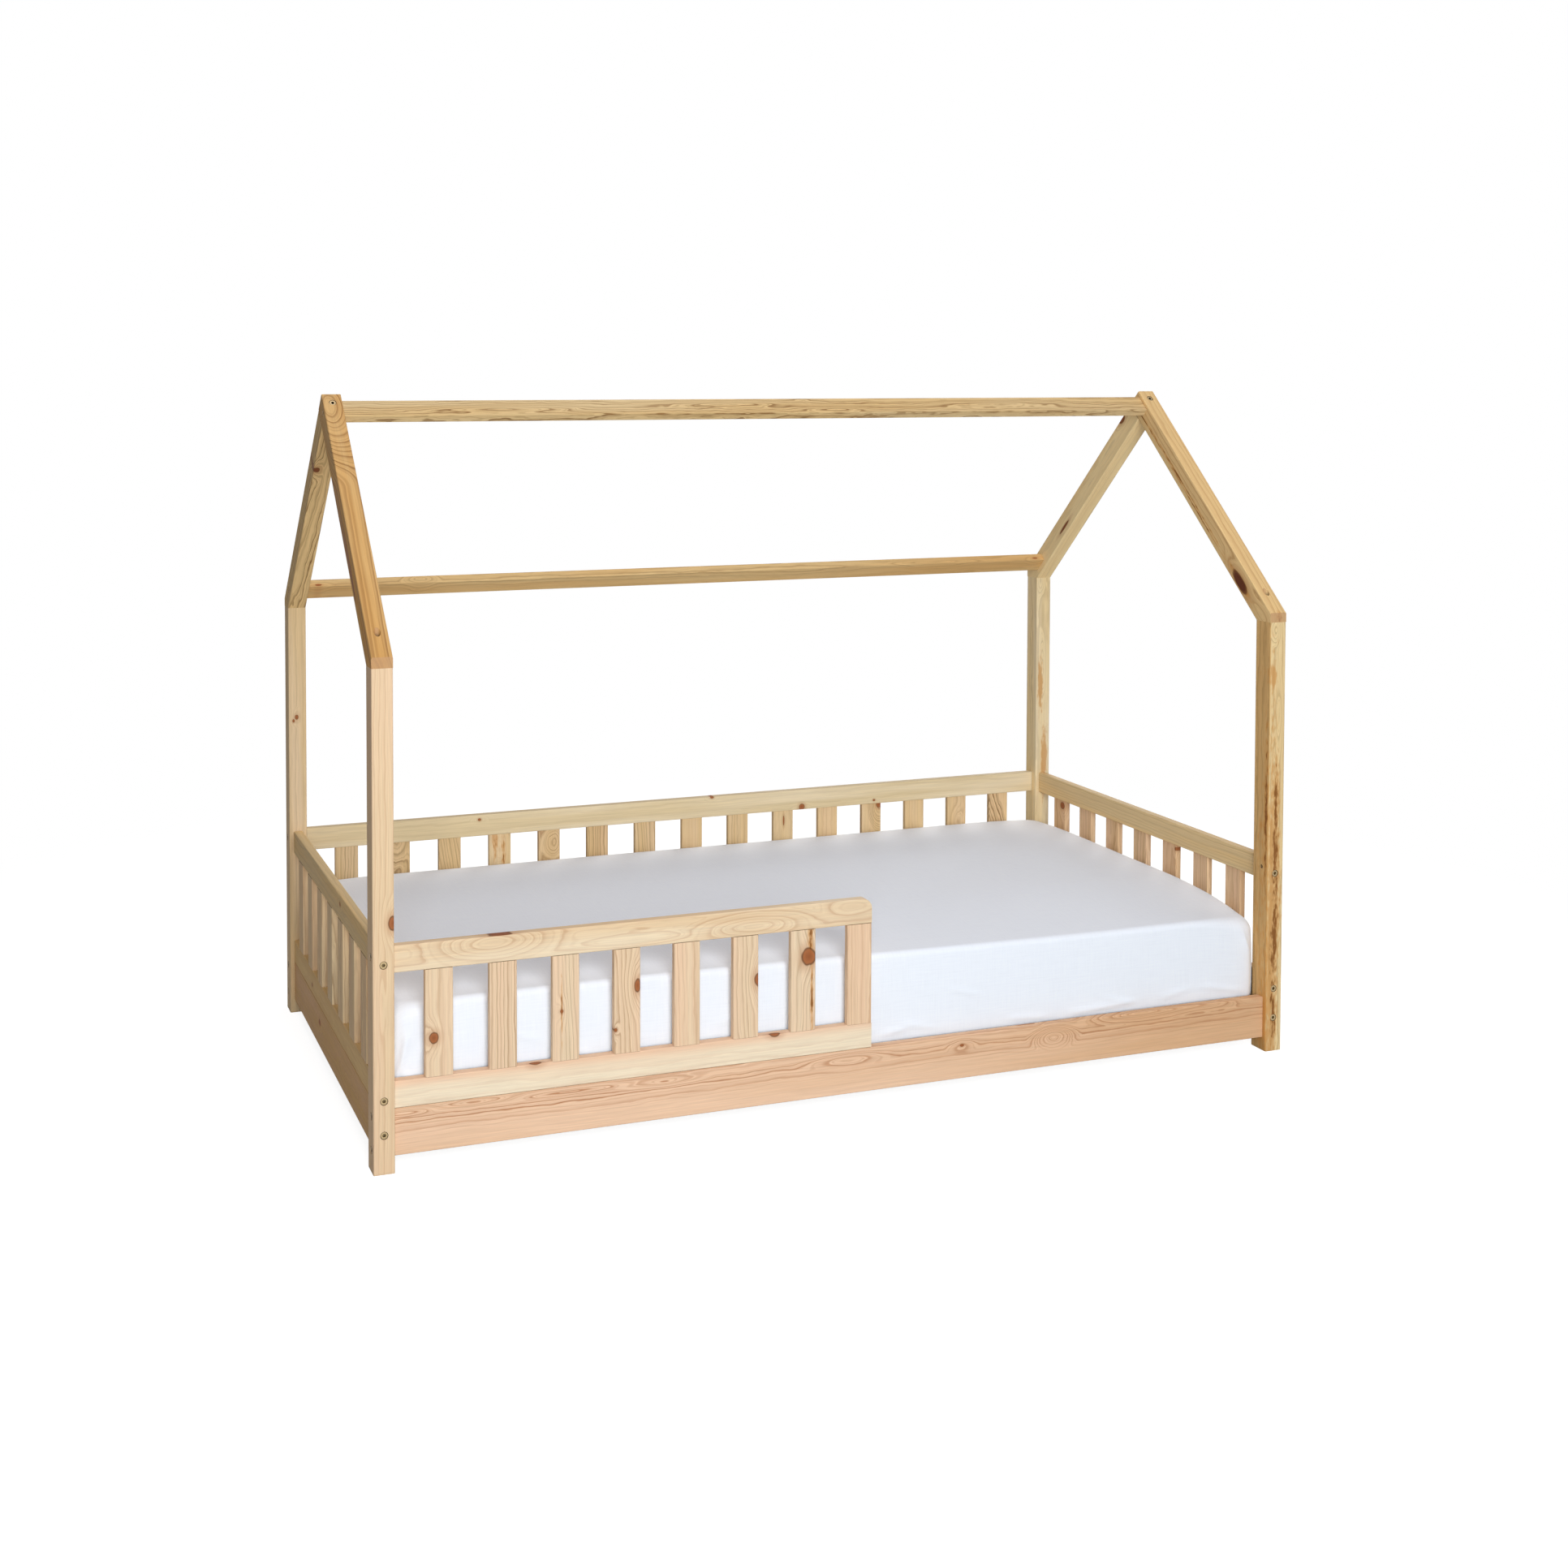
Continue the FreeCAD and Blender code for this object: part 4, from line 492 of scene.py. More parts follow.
def ring_count(tree, cut, own, drift, ripple):
    """Distance from the trunk's wandering and leaning heart, counted in rings and bent by small ripples."""
    reach = 2.0 * cut.sway * MM
    drift = add(tree, "VectorMath", (drift, (0.5, 0.5, 0.5)), operation="SUBTRACT")
    drift = add(tree, "VectorMath", (drift, (0.0, reach, reach)), operation="MULTIPLY")
    run = add(tree, "SeparateXYZ", (own.local,))
    leaning = add(tree, "VectorMath", {0: own.lean, "Scale": run}, operation="SCALE")
    place = own.local
    for operation, value in (
            ("ADD", drift), ("ADD", leaning), ("SUBTRACT", own.pith), ("MULTIPLY", (0.0, 1.0, 1.0))):
        place = add(tree, "VectorMath", (place, value), operation=operation)
    distance = add(tree, "VectorMath", (place,), "Value", operation="LENGTH")
    rings = add(tree, "Math", (distance, cut.spacing * MM), operation="DIVIDE")
    return add(tree, "Math", (ripple, 2.0 * cut.ripple, rings), operation="MULTIPLY_ADD")


def knot_marks(tree, cut, own, rings, ripple, speck):
    """Bends the rings round every knot, and returns them with one mask for each kind of mark that occurs.

    A mark's reach is the distance from the knot in the knot's own three radii, made ragged by the noises. The
    rings rise by a smooth hill inside the swell, and each mask is a smooth step down of its reach.
    """
    marks = {}
    for knot in cut.knots:
        away = add(tree, "VectorMath", (own.knot_place, [v * MM for v in knot.at]), operation="SUBTRACT")
        reach = {}
        for key in ("swell", "core", "streak", "glow"):
            radii = getattr(knot, key)
            if radii:
                scaled = add(tree, "VectorMath", (away, [1 / (v * MM) for v in radii]), operation="MULTIPLY")
                reach[key] = add(tree, "VectorMath", (scaled,), "Value", operation="LENGTH")
        if "swell" in reach:
            hill = add(tree, "MapRange", {"Value": reach["swell"], "To Min": knot.rings, "To Max": 0.0},
                       **SMOOTH_STEP)
            rings = add(tree, "Math", (rings, hill), operation="ADD")
        ragged = {}
        if "core" in reach:
            inner = add(tree, "Math", (ripple, 0.7, reach["core"]), operation="MULTIPLY_ADD")
            off_rim = add(tree, "Math", (inner, 0.95), operation="SUBTRACT")
            off_rim = add(tree, "Math", (off_rim,), operation="ABSOLUTE")
            ragged.update(core=inner, rim=off_rim, halo=inner)
        for key in ("streak", "glow"):
            if key in reach:
                torn = add(tree, "Math", (ripple, 1.4, reach[key]), operation="MULTIPLY_ADD")
                torn = add(tree, "Math", (speck, 2.6, torn), operation="MULTIPLY_ADD")
                ragged.update({key: torn, "glow": torn})
        found = {}
        for key, value in ragged.items():
            start, end, most = FADES[key]
            found[key] = add(tree, "MapRange", {
                "Value": value, "From Min": start, "From Max": end, "To Min": most, "To Max": 0.0},
                **SMOOTH_STEP)
        if "core" in found:
            middle = add(tree, "MapRange", {
                "Value": inner, "From Max": 0.8, "To Min": max(knot.dark, 0.45), "To Max": knot.dark})
            found["dark"] = add(tree, "Math", (found["core"], middle), operation="MULTIPLY")
        for key, mark in found.items():
            if key in marks:
                mark = add(tree, "Math", (marks[key], mark), operation="MAXIMUM")
            marks[key] = mark
    return rings, marks


def summer_wood(tree, rings):
    """Summer wood from 0 to 1: what is left after whole rings, through a ramp, times the ring's own weight.

    A slow noise makes the rings unevenly wide. Between the drawn ones run the fainter ones of true spacing.
    """
    uneven = add(tree, "Math", (rings, 0.45), operation="MULTIPLY")
    uneven = add(tree, "TexNoise", {"W": uneven, "Scale": 1.0, "Detail": 0.0}, "Fac", noise_dimensions="1D")
    rings = add(tree, "Math", (uneven, 1.5, rings), operation="MULTIPLY_ADD")
    whole = add(tree, "Math", (rings,), operation="FLOOR")
    weight = add(tree, "TexWhiteNoise", {"W": whole}, "Value", noise_dimensions="1D")
    weight = add(tree, "MapRange", {"Value": weight, "To Min": 0.5})
    part = add(tree, "Math", (rings,), operation="FRACT")
    summer = add(tree, "ValToRGB", (part,), ramp=[(place, (level,) * 3) for place, level in SUMMER_RISE])
    summer = add(tree, "Math", (summer, weight), operation="MULTIPLY")
    fine = add(tree, "Math", (rings, TRUE_RINGS * math.tau), operation="MULTIPLY")
    fine = add(tree, "Math", (fine,), operation="SINE")
    fine = add(tree, "MapRange", {"Value": fine, "From Min": 0.1, "To Max": 0.34})
    return add(tree, "Math", (summer, fine), operation="MAXIMUM")


def pine_figure(scene, tree, shader, cut, own):
    """Planed pine: growth rings are circles round the trunk's wandering heart, cut by the board's faces.

    Spring wood turns to darker summer wood through every ring, cloudy patches and fibres vary the tone along
    the run, knots and resin are painted over it, and cross-cut ends are browner.
    """
    colours = scene.house_bed_pine
    grain = scene.house_bed_grain
    drift, ripple, speck, fibre, cloud = (
        stretched_noise(tree, own.local, (run, across, across), detail, out, own.seed)
        for run, across, detail, out in (
            (grain.drift_run, grain.drift_across, 1.0, "Color"),
            (grain.ripple_run, grain.ripple_across, 2.0, "Fac"),
            (grain.speck_run, grain.speck_across, 2.0, "Fac"),
            (grain.fibre_run, grain.fibre_across, 3.0, "Fac"),
            (grain.drift_run / 0.6, grain.drift_across / 4.0, 2.0, "Fac")))
    ripple = add(tree, "Math", (ripple, 0.5), operation="SUBTRACT")
    speck = add(tree, "Math", (speck, 0.5), operation="SUBTRACT")
    rings = ring_count(tree, cut, own, drift, ripple)
    rings, marks = knot_marks(tree, cut, own, rings, ripple, speck)
    summer = summer_wood(tree, rings)

    axes = add(tree, "SeparateXYZ", (own.local,), out=None).outputs
    cloud = add(tree, "MapRange", {"Value": cloud, "From Min": 0.38, "From Max": 0.62})
    fading = add(tree, "MapRange", {"Value": cloud, "To Min": 1.0, "To Max": 0.65})
    if cut.fade:
        low, high, least = cut.fade
        zone = add(tree, "MapRange", {
            "Value": axes[2], "From Min": low * MM, "From Max": high * MM, "To Min": least}, **SMOOTH_STEP)
        fading = add(tree, "Math", (fading, zone), operation="MULTIPLY")
    lines = add(tree, "Math", (summer, own.strength), operation="MULTIPLY")
    lines = add(tree, "Math", (lines, fading), operation="MULTIPLY")
    patchy = add(tree, "Math", (cloud, 0.55), operation="MULTIPLY")
    if cut.turn:
        axis, low, high = cut.turn
        turned = add(tree, "MapRange", {
            "Value": axes[axis], "From Min": low * MM, "From Max": high * MM}, **SMOOTH_STEP)
        patchy = add(tree, "Math", (cloud, 0.3, turned), operation="MULTIPLY_ADD", use_clamp=True)

    colour = add(tree, "Mix", {0: patchy, 6: own.tone, 7: getattr(colours, cut.patch)}, 2, data_type="RGBA")
    colour = add(tree, "Mix", {0: lines, 6: colour, 7: own.line}, 2, data_type="RGBA")
    shade = add(tree, "MapRange", {
        "Value": fibre, "From Min": 0.3, "From Max": 0.7, "To Min": 0.93, "To Max": 1.05})
    colour = add(tree, "VectorMath", {0: colour, "Scale": shade}, operation="SCALE")
    ends = add(tree, "Math", (own.facing,), operation="ABSOLUTE")
    marks["ends"] = add(tree, "MapRange", {
        "Value": ends, "From Min": 0.35, "From Max": 0.6, "To Max": 0.7}, **SMOOTH_STEP)
    for key, paint in (
            ("halo", colours.line_red), ("glow", colours.stain), ("streak", colours.resin),
            ("core", colours.knot_heart), ("dark", colours.knot_dark), ("rim", colours.knot_rim),
            ("ends", colours.end_grain)):
        if key in marks:
            colour = add(tree, "Mix", {0: marks[key], 6: colour, 7: paint}, 2, data_type="RGBA")
    # Painted shade: ambient occlusion darkens bolt holes, the gaps round bolt heads and, a little, inside
    # corners.
    crevice_shade = add(tree, "AmbientOcclusion", {"Distance": 14 * MM}, "AO", samples=6)
    crevice_shade = add(tree, "MapRange", {
        "Value": crevice_shade, "From Min": 0.08, "From Max": 0.58, "To Min": 0.2}, **SMOOTH_STEP)
    colour = add(tree, "VectorMath", {0: colour, "Scale": crevice_shade}, operation="SCALE")
    rough = add(tree, "MapRange", {"Value": summer, "To Min": 0.72, "To Max": 0.6})
    height = add(tree, "Math", (fibre, 0.5, summer), operation="MULTIPLY_ADD")
    bump = add(tree, "Bump", {"Height": height, "Strength": 0.35, "Distance": grain.relief})
    feed(tree, shader, {
        "Base Color": colour, "Roughness": rough, "Normal": bump, "IOR": 1.5, "Specular IOR Level": 0.15})


def pine_board(scene, node):
    """Planed untreated pine for one board: pale, matt, with growth lines that follow this board's own cut."""
    board = BOARDS[node]
    colours = scene.house_bed_pine
    made, tree, shader = material("planed_pine_" + node)
    low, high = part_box(node)
    turn = RUNS[board.run]
    place = add(tree, "TexCoord", out=None).outputs
    local = add(tree, "Mapping", {
        "Vector": place["Object"], "Location": tuple((low + high) / 2), "Rotation": turn},
        vector_type="TEXTURE")
    facing = add(tree, "Mapping", {"Vector": place["Normal"], "Rotation": turn}, vector_type="TEXTURE")
    pine_figure(scene, tree, shader, board, Figure(
        local, local, add(tree, "SeparateXYZ", (facing,)),
        pith=(0.0, board.pith[0] * MM, board.pith[1] * MM),
        lean=(0.0, board.lean[0] * MM, board.lean[1] * MM),
        tone=getattr(colours, board.tone), line=getattr(colours, board.line), strength=board.strength,
        seed=(board.seed, board.seed * 0.7, board.seed * 1.3)))
    dress(node, made)


def pine_row(scene, node):
    """Planed pine for a row of slats: a slat's number in the row picks its look and its piece of trunk."""
    row = ROWS[node]
    colours = scene.house_bed_pine
    made, tree, shader = material("planed_pine_" + node)
    place = add(tree, "TexCoord", out=None).outputs
    parts = add(tree, "SeparateXYZ", (place["Object"],), out=None).outputs
    facing = add(tree, "SeparateXYZ", (place["Normal"],), out=None).outputs
    row_axis, run_axis, thick_axis = ROW_AXES[row.axis]
    steps = add(tree, "Math", (parts[row_axis], (row.start - row.pitch / 2) * MM), operation="SUBTRACT")
    steps = add(tree, "Math", (steps, row.pitch * MM), operation="DIVIDE")
    number = add(tree, "Math", (steps,), operation="FLOOR")
    side = add(tree, "Math", (steps,), operation="FRACT")
    side = add(tree, "Math", (side, 0.5), operation="SUBTRACT")
    side = add(tree, "Math", (side, row.pitch * MM), operation="MULTIPLY")
    run, thick = (
        add(tree, "Math", (parts[axis], row.middle[axis] * MM), operation="SUBTRACT")
        for axis in (run_axis, thick_axis))

    # Two stepped ramps hold a stop for each slat: heart place and paleness, then strength, lean and redness.
    count = len(row.looks)
    spot = add(tree, "Math", (number, 0.5), operation="ADD")
    spot = add(tree, "Math", (spot, float(count)), operation="DIVIDE")
    heart = [
        (look.behind / HEART_REACH, look.beside / HEART_REACH / 2 + 0.5, look.pale) for look in row.looks]
    lines = [(look.strength, look.lean / LEAN_REACH, look.red) for look in row.looks]
    looks = []
    for levels in (heart, lines):
        ramp = add(tree, "ValToRGB", (spot,), ramp=[(i / count, level) for i, level in enumerate(levels)])
        ramp.node.color_ramp.interpolation = "CONSTANT"
        looks += add(tree, "SeparateXYZ", (ramp,), out=None).outputs
    behind, beside, pale, strength, slant, red = looks
    behind = add(tree, "Math", (behind, HEART_REACH * MM), operation="MULTIPLY")
    beside = add(tree, "Math", (beside, 0.5), operation="SUBTRACT")
    beside = add(tree, "Math", (beside, 2 * HEART_REACH * MM), operation="MULTIPLY")
    slant = add(tree, "Math", (slant, LEAN_REACH * MM), operation="MULTIPLY")
    own_seed = add(tree, "Math", (number, SEED_STEP, row.seed), operation="MULTIPLY_ADD")
    tone = add(tree, "Mix", {0: pale, 6: colours.rose, 7: colours.pale}, 2, data_type="RGBA")
    pine_figure(scene, tree, shader, row, Figure(
        add(tree, "CombineXYZ", (run, thick, side)), place["Object"], facing[run_axis],
        pith=add(tree, "CombineXYZ", {1: behind, 2: beside}), lean=add(tree, "CombineXYZ", {2: slant}),
        tone=add(tree, "Mix", {0: ROW_SHARE, 6: tone, 7: getattr(colours, row.tone)}, 2, data_type="RGBA"),
        line=add(tree, "Mix", {0: red, 6: colours.line_brown, 7: colours.line_red}, 2, data_type="RGBA"),
        strength=strength, seed=add(tree, "CombineXYZ", (own_seed, own_seed, row.seed))))
    dress(node, made)


def mottled(name, colour, spot, dull):
    """A material whose colour wavers between a dulled and the full tone in soft spots of the given size.

    Returns the material, its tree and shader, the wavering colour and the spots.
    """
    made, tree, shader = material(name)
    place = add(tree, "TexCoord", out="Object")
    spots = add(tree, "TexNoise", {"Vector": place, "Scale": 1 / spot, "Detail": 2.0}, "Fac")
    mixed = add(tree, "Mix", {0: spots, 6: [v * dull for v in colour], 7: colour}, 2, data_type="RGBA")
    return made, tree, shader, mixed, spots


def plated_steel(scene, use, dull, bright):
    """Yellow zinc plated steel of bolts and screws: satin, with the uneven tint that passivation leaves.

    Painted shade: ambient occlusion darkens a head that is sunk in its hole towards the bottom: between the
    dull and the bright openness its tone rises from the painted recess shade to the plating's own.
    """
    fittings = scene.house_bed_fittings
    made, tree, shader, mixed, cloud = mottled("yellow_zinc_steel_" + use, fittings.zinc, 4 * MM, 0.75)
    # Painted shade: occlusion mixes the recess colour into sunk heads.
    open_sky = add(tree, "AmbientOcclusion", {"Distance": 5 * MM}, "AO", samples=8)
    open_sky = add(tree, "MapRange", {"Value": open_sky, "From Min": dull, "From Max": bright}, **SMOOTH_STEP)
    mixed = add(tree, "Mix", {0: open_sky, 6: fittings.recess, 7: mixed}, 2, data_type="RGBA")
    rough = add(tree, "MapRange", {"Value": cloud, "To Min": 0.28, "To Max": 0.45})
    feed(tree, shader, {"Base Color": mixed, "Roughness": rough, "Metallic": 1.0})
    return made


def turned_brass(scene):
    """Turned brass of the threaded inserts: bright, a little dulled in spots of 3 mm."""
    made, tree, shader, mixed, cloud = mottled("turned_brass", scene.house_bed_fittings.brass, 3 * MM, 0.7)
    rough = add(tree, "MapRange", {"Value": cloud, "To Min": 0.25, "To Max": 0.4})
    feed(tree, shader, {"Base Color": mixed, "Roughness": rough, "Metallic": 1.0})
    return made


def turned_beech(scene):
    """Turned beech of the dowels: even, fine-flecked and a little darker than the pine."""
    made, tree, shader, mixed, fleck = mottled("turned_beech", scene.house_bed_fittings.beech, 2 * MM, 0.8)
    feed(tree, shader, {"Base Color": mixed, "Roughness": 0.6})
    return made


def eased(value):
    """A smooth step from 0 to 1, flat at both ends."""
    share = np.clip(value, 0.0, 1.0)
    return share ** 2 * (3 - 2 * share)


def outline(half_x, half_y, corner, spacing):
    """A rectangle with round corners, walked once anticlockwise, as points and outward directions.

    Each side is an even row of points, each corner a quarter circle, both worked out as whole arrays.
    """
    points = []
    normals = []
    turns = 14
    for number, (sx, sy) in enumerate(((1, -1), (1, 1), (-1, 1), (-1, -1))):
        angle = -QUARTER + number * QUARTER + np.linspace(0.0, QUARTER, turns + 1)
        away = np.stack([np.cos(angle), np.sin(angle)], 1)
        middle = np.array([sx * (half_x - corner), sy * (half_y - corner)])
        points.append(middle + corner * away)
        normals.append(away)
        run = 2 * (half_y - corner) if number % 2 == 0 else 2 * (half_x - corner)
        steps = max(2, int(round(run / spacing)))
        along = np.array([-away[-1][1], away[-1][0]])
        share = np.arange(1, steps)[:, None] / steps
        points.append(middle + corner * away[-1] + along * run * share)
        normals.append(np.repeat(away[-1:], steps - 1, 0))
    return np.concatenate(points), np.concatenate(normals)


def grid_mesh(name, rings, uv, first, last):
    """A mesh from closed rings of points (rings, around, 3), with a middle point closing either end."""
    count, around = rings.shape[:2]
    vertices = rings.reshape(-1, 3)
    flat = uv.reshape(-1, 2)
    index = np.arange(count * around).reshape(count, around)
    following = np.roll(index, -1, 1)
    quads = np.stack([index[:-1], index[1:], following[1:], following[:-1]], -1)
    faces = quads.reshape(-1, 4).tolist()
    extra = []
    extra_uv = []
    for closed, ring, order in ((first, 0, 1), (last, count - 1, -1)):
        if closed:
            pole = len(vertices) + len(extra)
            extra.append(rings[ring].mean(0))
            extra_uv.append(uv[ring].mean(0))
            fan = np.stack([np.full(around, pole), index[ring], following[ring]], -1)[:, ::order]
            faces += fan.tolist()
    if extra:
        vertices = np.concatenate([vertices, np.array(extra)])
        flat = np.concatenate([flat, np.array(extra_uv)])
    mesh = bpy.data.meshes.new(name)
    mesh.from_pydata(vertices.tolist(), [], faces)
    layer = mesh.uv_layers.new(name="cloth")
    corners = np.empty(len(mesh.loops), np.int32)
    mesh.loops.foreach_get("vertex_index", corners)
    layer.data.foreach_set("uv", flat[corners].astype(np.float32).ravel())
    mesh.polygons.foreach_set("use_smooth", np.ones(len(mesh.polygons), bool))
    mesh.update()
    piece = bpy.data.objects.new(name, mesh)
    bpy.context.scene.collection.objects.link(piece)
    return piece


def eased_directions(points, normals, spread):
    """Outward directions averaged along the outline with Gaussian weights, so that corners turn gradually."""
    steps = np.linalg.norm(np.roll(points, -1, 0) - points, axis=1)
    walked = np.concatenate([[0.0], np.cumsum(steps)[:-1]])
    apart = np.abs(walked[:, None] - walked[None])
    apart = np.minimum(apart, steps.sum() - apart)
    weights = np.exp(-0.5 * (apart / spread) ** 2) * (steps + np.roll(steps, 1))[None]
    mean = weights @ normals
    return mean / np.linalg.norm(mean, axis=1, keepdims=True)


# Rings of points on the top, its edge, the side and the lower edge, and where the first one lies.
CROWN_RINGS = 32
SHOULDER_RINGS = 10
SIDE_RINGS = 33
TOE_RINGS = 6
CROWN_START = 0.03


def frontness(place):
    """How soft a corner is, by its place across the bed from -1 to 1: 1 in front and 0.4 at the back."""
    return 0.7 - 0.3 * place


def bedding_form(low, high, points, normals, sizes):
    """The pad's skin from the middle of the top to the lower edge: rings, outward directions, flat places.

    The top is a crown, one minus the fourth power of the place along the bed times the same across it; each
    edge is a quarter circle whose radius grows near the corners as a Gaussian of the distance to them, more
    so at the front, and whose plane turns gradually round a corner; the side bows out as a half sine. Each
    zone is a row of arrays: share of the outline, reach from the inner to the outer one, height, outward and
    upward direction, and length of skin past the inner outline.
    """
    half = np.abs(points).max(0)
    to_corner = np.linalg.norm(half - np.abs(points), axis=1)
    softness = frontness(points[:, 1] / half[1]) * np.exp(-(to_corner / sizes.corner_reach) ** 2)
    top = (sizes.edge_top + sizes.corner_soft * softness)[None]
    inner = points - eased_directions(points, normals, sizes.corner_ease) * top[0][:, None]
    foot = sizes.edge_low
    ledge = high - sizes.crown
    drop = ledge - top - (low + foot)
    full = np.ones_like(top)

    share = np.sin(np.linspace(CROWN_START, 1.0, CROWN_RINGS) * QUARTER)[:, None]
    spot = inner[None] * share[..., None] / (half - sizes.edge_top)
    rise = sizes.crown * (1 - spot[..., 0] ** 4) * (1 - spot[..., 1] ** 4)
    none = 0 * share * full
    crown = [share * full, none, ledge + rise, none, full + none, none]
    angle = np.linspace(0.0, QUARTER, SHOULDER_RINGS + 1)[1:, None]
    whole = full + 0 * angle
    rounded = ledge - top * (1 - np.cos(angle)) + rise[-1:] * (1 - np.sin(angle))
    shoulder = [whole, np.sin(angle) * full, rounded, np.sin(angle) * full, np.cos(angle) * full, top * angle]
    down = np.linspace(0.0, 1.0, SIDE_RINGS + 1)[1:, None]
    whole = full + 0 * down
    side = [whole, whole, ledge - top - drop * down, whole, 0 * whole, top * QUARTER + drop * down]
    angle = np.linspace(0.0, QUARTER, TOE_RINGS + 1)[1:, None]
    whole = full + 0 * angle
    toe = [whole, whole, low + foot * (1 - np.sin(angle)) * full,
           np.cos(angle) * full, -np.sin(angle) * full, top * QUARTER + drop + foot * angle]
    share, reach, height, outward, upward, past = (
        np.concatenate(parts)[..., None] for parts in zip(crown, shoulder, side, toe))
    bulge = np.concatenate([0 * crown[0], 0 * shoulder[0], sizes.bow * np.sin(down * math.pi) * full,
                            -foot * (1 - np.cos(angle)) * full])[..., None]

    place = (inner + (points - inner) * reach) * share + normals * bulge
    sag = bedding_sag(place, half, sizes)
    height = height - sag[..., None] * np.clip((height - low) / (high - low), 0.0, 1.0)
    rings = np.concatenate([place, height], -1)
    away = np.concatenate([normals * outward, upward], -1)
    return rings, away, inner * share + normals * past


def bedding_sag(place, half, sizes):
    """How far the top sinks: smooth steps towards the open part of the front, a Gaussian dip at corners."""
    x = place[..., 0] / half[0]
    y = place[..., 1] / half[1]
    ease = eased((-y - 0.3) / 0.7) * eased((x + 0.65) / 1.4)
    to_corner = np.linalg.norm(half - np.abs(place), axis=-1)
    dip = frontness(y) * np.exp(-(to_corner / sizes.corner_reach) ** 2)
    return sizes.front_sag * ease + sizes.corner_sag * dip


def under_rings(ring, uv, reach, steps, height):
    """Rings that lie flat under the mattress, drawn in from the last ring by a growing share of its size."""
    half = np.abs(ring[:, :2]).max(0)
    inward = np.linspace(0.0, 1.0, steps + 1)[1:, None, None] * reach
    shrink = 1 - inward / half
    flat = ring[None, :, :2] * shrink
    rings = np.concatenate([flat, np.full(flat.shape[:2] + (1,), height)], -1)
    outward = uv[None] - flat
    return rings, uv[None] + outward / np.linalg.norm(outward, axis=-1, keepdims=True) * inward


def soft_ticking(scene):
    """Woven cotton ticking of the mattress: unbleached, matt, with a fine woven stripe."""
    made, tree, shader = material("woven_ticking")
    sizes = scene.house_bed_bedding
    uv = add(tree, "UVMap", uv_map="cloth")
    # The wave texture has 20 radians to a unit of its scale, so this is one stripe every 24 mm.
    stripe = add(tree, "TexWave", {"Vector": uv, "Scale": math.tau / 20.0 / (24 * MM), "Distortion": 0.0},
                 "Fac", bands_direction="X")
    band = add(tree, "MapRange", {
        "Value": stripe, "From Min": 0.82, "From Max": 0.95, "To Max": 0.8}, **SMOOTH_STEP)
    # Threads of 0.4 mm would not show, so they are drawn 2 mm apart.
    weave = add(tree, "TexNoise", {"Vector": uv, "Scale": 1 / (2 * MM), "Detail": 1.0}, "Fac")
    colour = add(tree, "Mix", {0: band, 6: sizes.ticking, 7: sizes.ticking_line}, 2, data_type="RGBA")
    shade = add(tree, "MapRange", {"Value": weave, "To Min": 0.94, "To Max": 1.04})
    colour = add(tree, "VectorMath", {0: colour, "Scale": shade}, operation="SCALE")
    bump = add(tree, "Bump", {"Height": weave, "Strength": 0.3, "Distance": 0.4 * MM})
    feed(tree, shader, {"Base Color": colour, "Normal": bump, "Roughness": 0.9, "Sheen Weight": 0.2})
    return made


def white_cotton(scene):
    """Plain-weave white cotton of the sheet: matt, faintly slubbed along both threads, with a soft sheen."""
    made, tree, shader = material("white_cotton")
    uv = add(tree, "UVMap", uv_map="cloth")
    # Threads of 0.3 mm would not show, so their slubs are drawn 3 mm wide and 60 mm long.
    warp = stretched_noise(tree, uv, (60 * MM, 3 * MM, 1.0), 2.0)
    weft = stretched_noise(tree, uv, (3 * MM, 60 * MM, 1.0), 2.0)
    threads = add(tree, "Math", (warp, weft), operation="ADD")
    shade = add(tree, "MapRange", {
        "Value": threads, "From Min": 0.6, "From Max": 1.4, "To Min": 0.965, "To Max": 1.03})
    colour = add(tree, "VectorMath", {0: scene.house_bed_bedding.cotton, "Scale": shade}, operation="SCALE")
    # Slight creases, 150 mm long and 45 mm wide.
    crease = stretched_noise(tree, uv, (150 * MM, 45 * MM, 1.0), 3.0)
    height = add(tree, "Math", (threads, 0.12, crease), operation="MULTIPLY_ADD")
    bump = add(tree, "Bump", {"Height": height, "Strength": 0.5, "Distance": 2.0 * MM})
    feed(tree, shader, {"Base Color": colour, "Normal": bump, "Roughness": 0.85, "Sheen Weight": 0.15})
    return made


Crease = namedtuple("Crease", "x z to_x to_z width height")

# Soft creases on the sheet's front side: both ends in mm along the bed and up from the floor, width in mm,
# and height as a share of the fold height.
FRONT_CREASES = (
    Crease(-946, 118, -912, 262, 5, 1.0),
    Crease(-938, 116, -880, 236, 5, 0.9),
    Crease(-925, 114, -842, 196, 6, 0.7),
    Crease(-735, 226, -640, 190, 5, 0.5),
    Crease(-600, 176, -520, 150, 5, 0.5),
    Crease(-320, 190, -210, 214, 6, 0.5),
    Crease(40, 126, 130, 140, 5, 0.9),
    Crease(80, 152, 190, 124, 5, 0.6),
    Crease(190, 212, 290, 178, 5, 0.6),
    Crease(330, 130, 450, 122, 5, 0.7),
    Crease(480, 124, 660, 134, 5, 0.9),
    Crease(560, 152, 650, 126, 4, 0.7),
    Crease(700, 128, 800, 150, 5, 0.6),
    Crease(800, 150, 930, 122, 6, 0.7),
    Crease(900, 292, 936, 190, 4, 0.8),
)


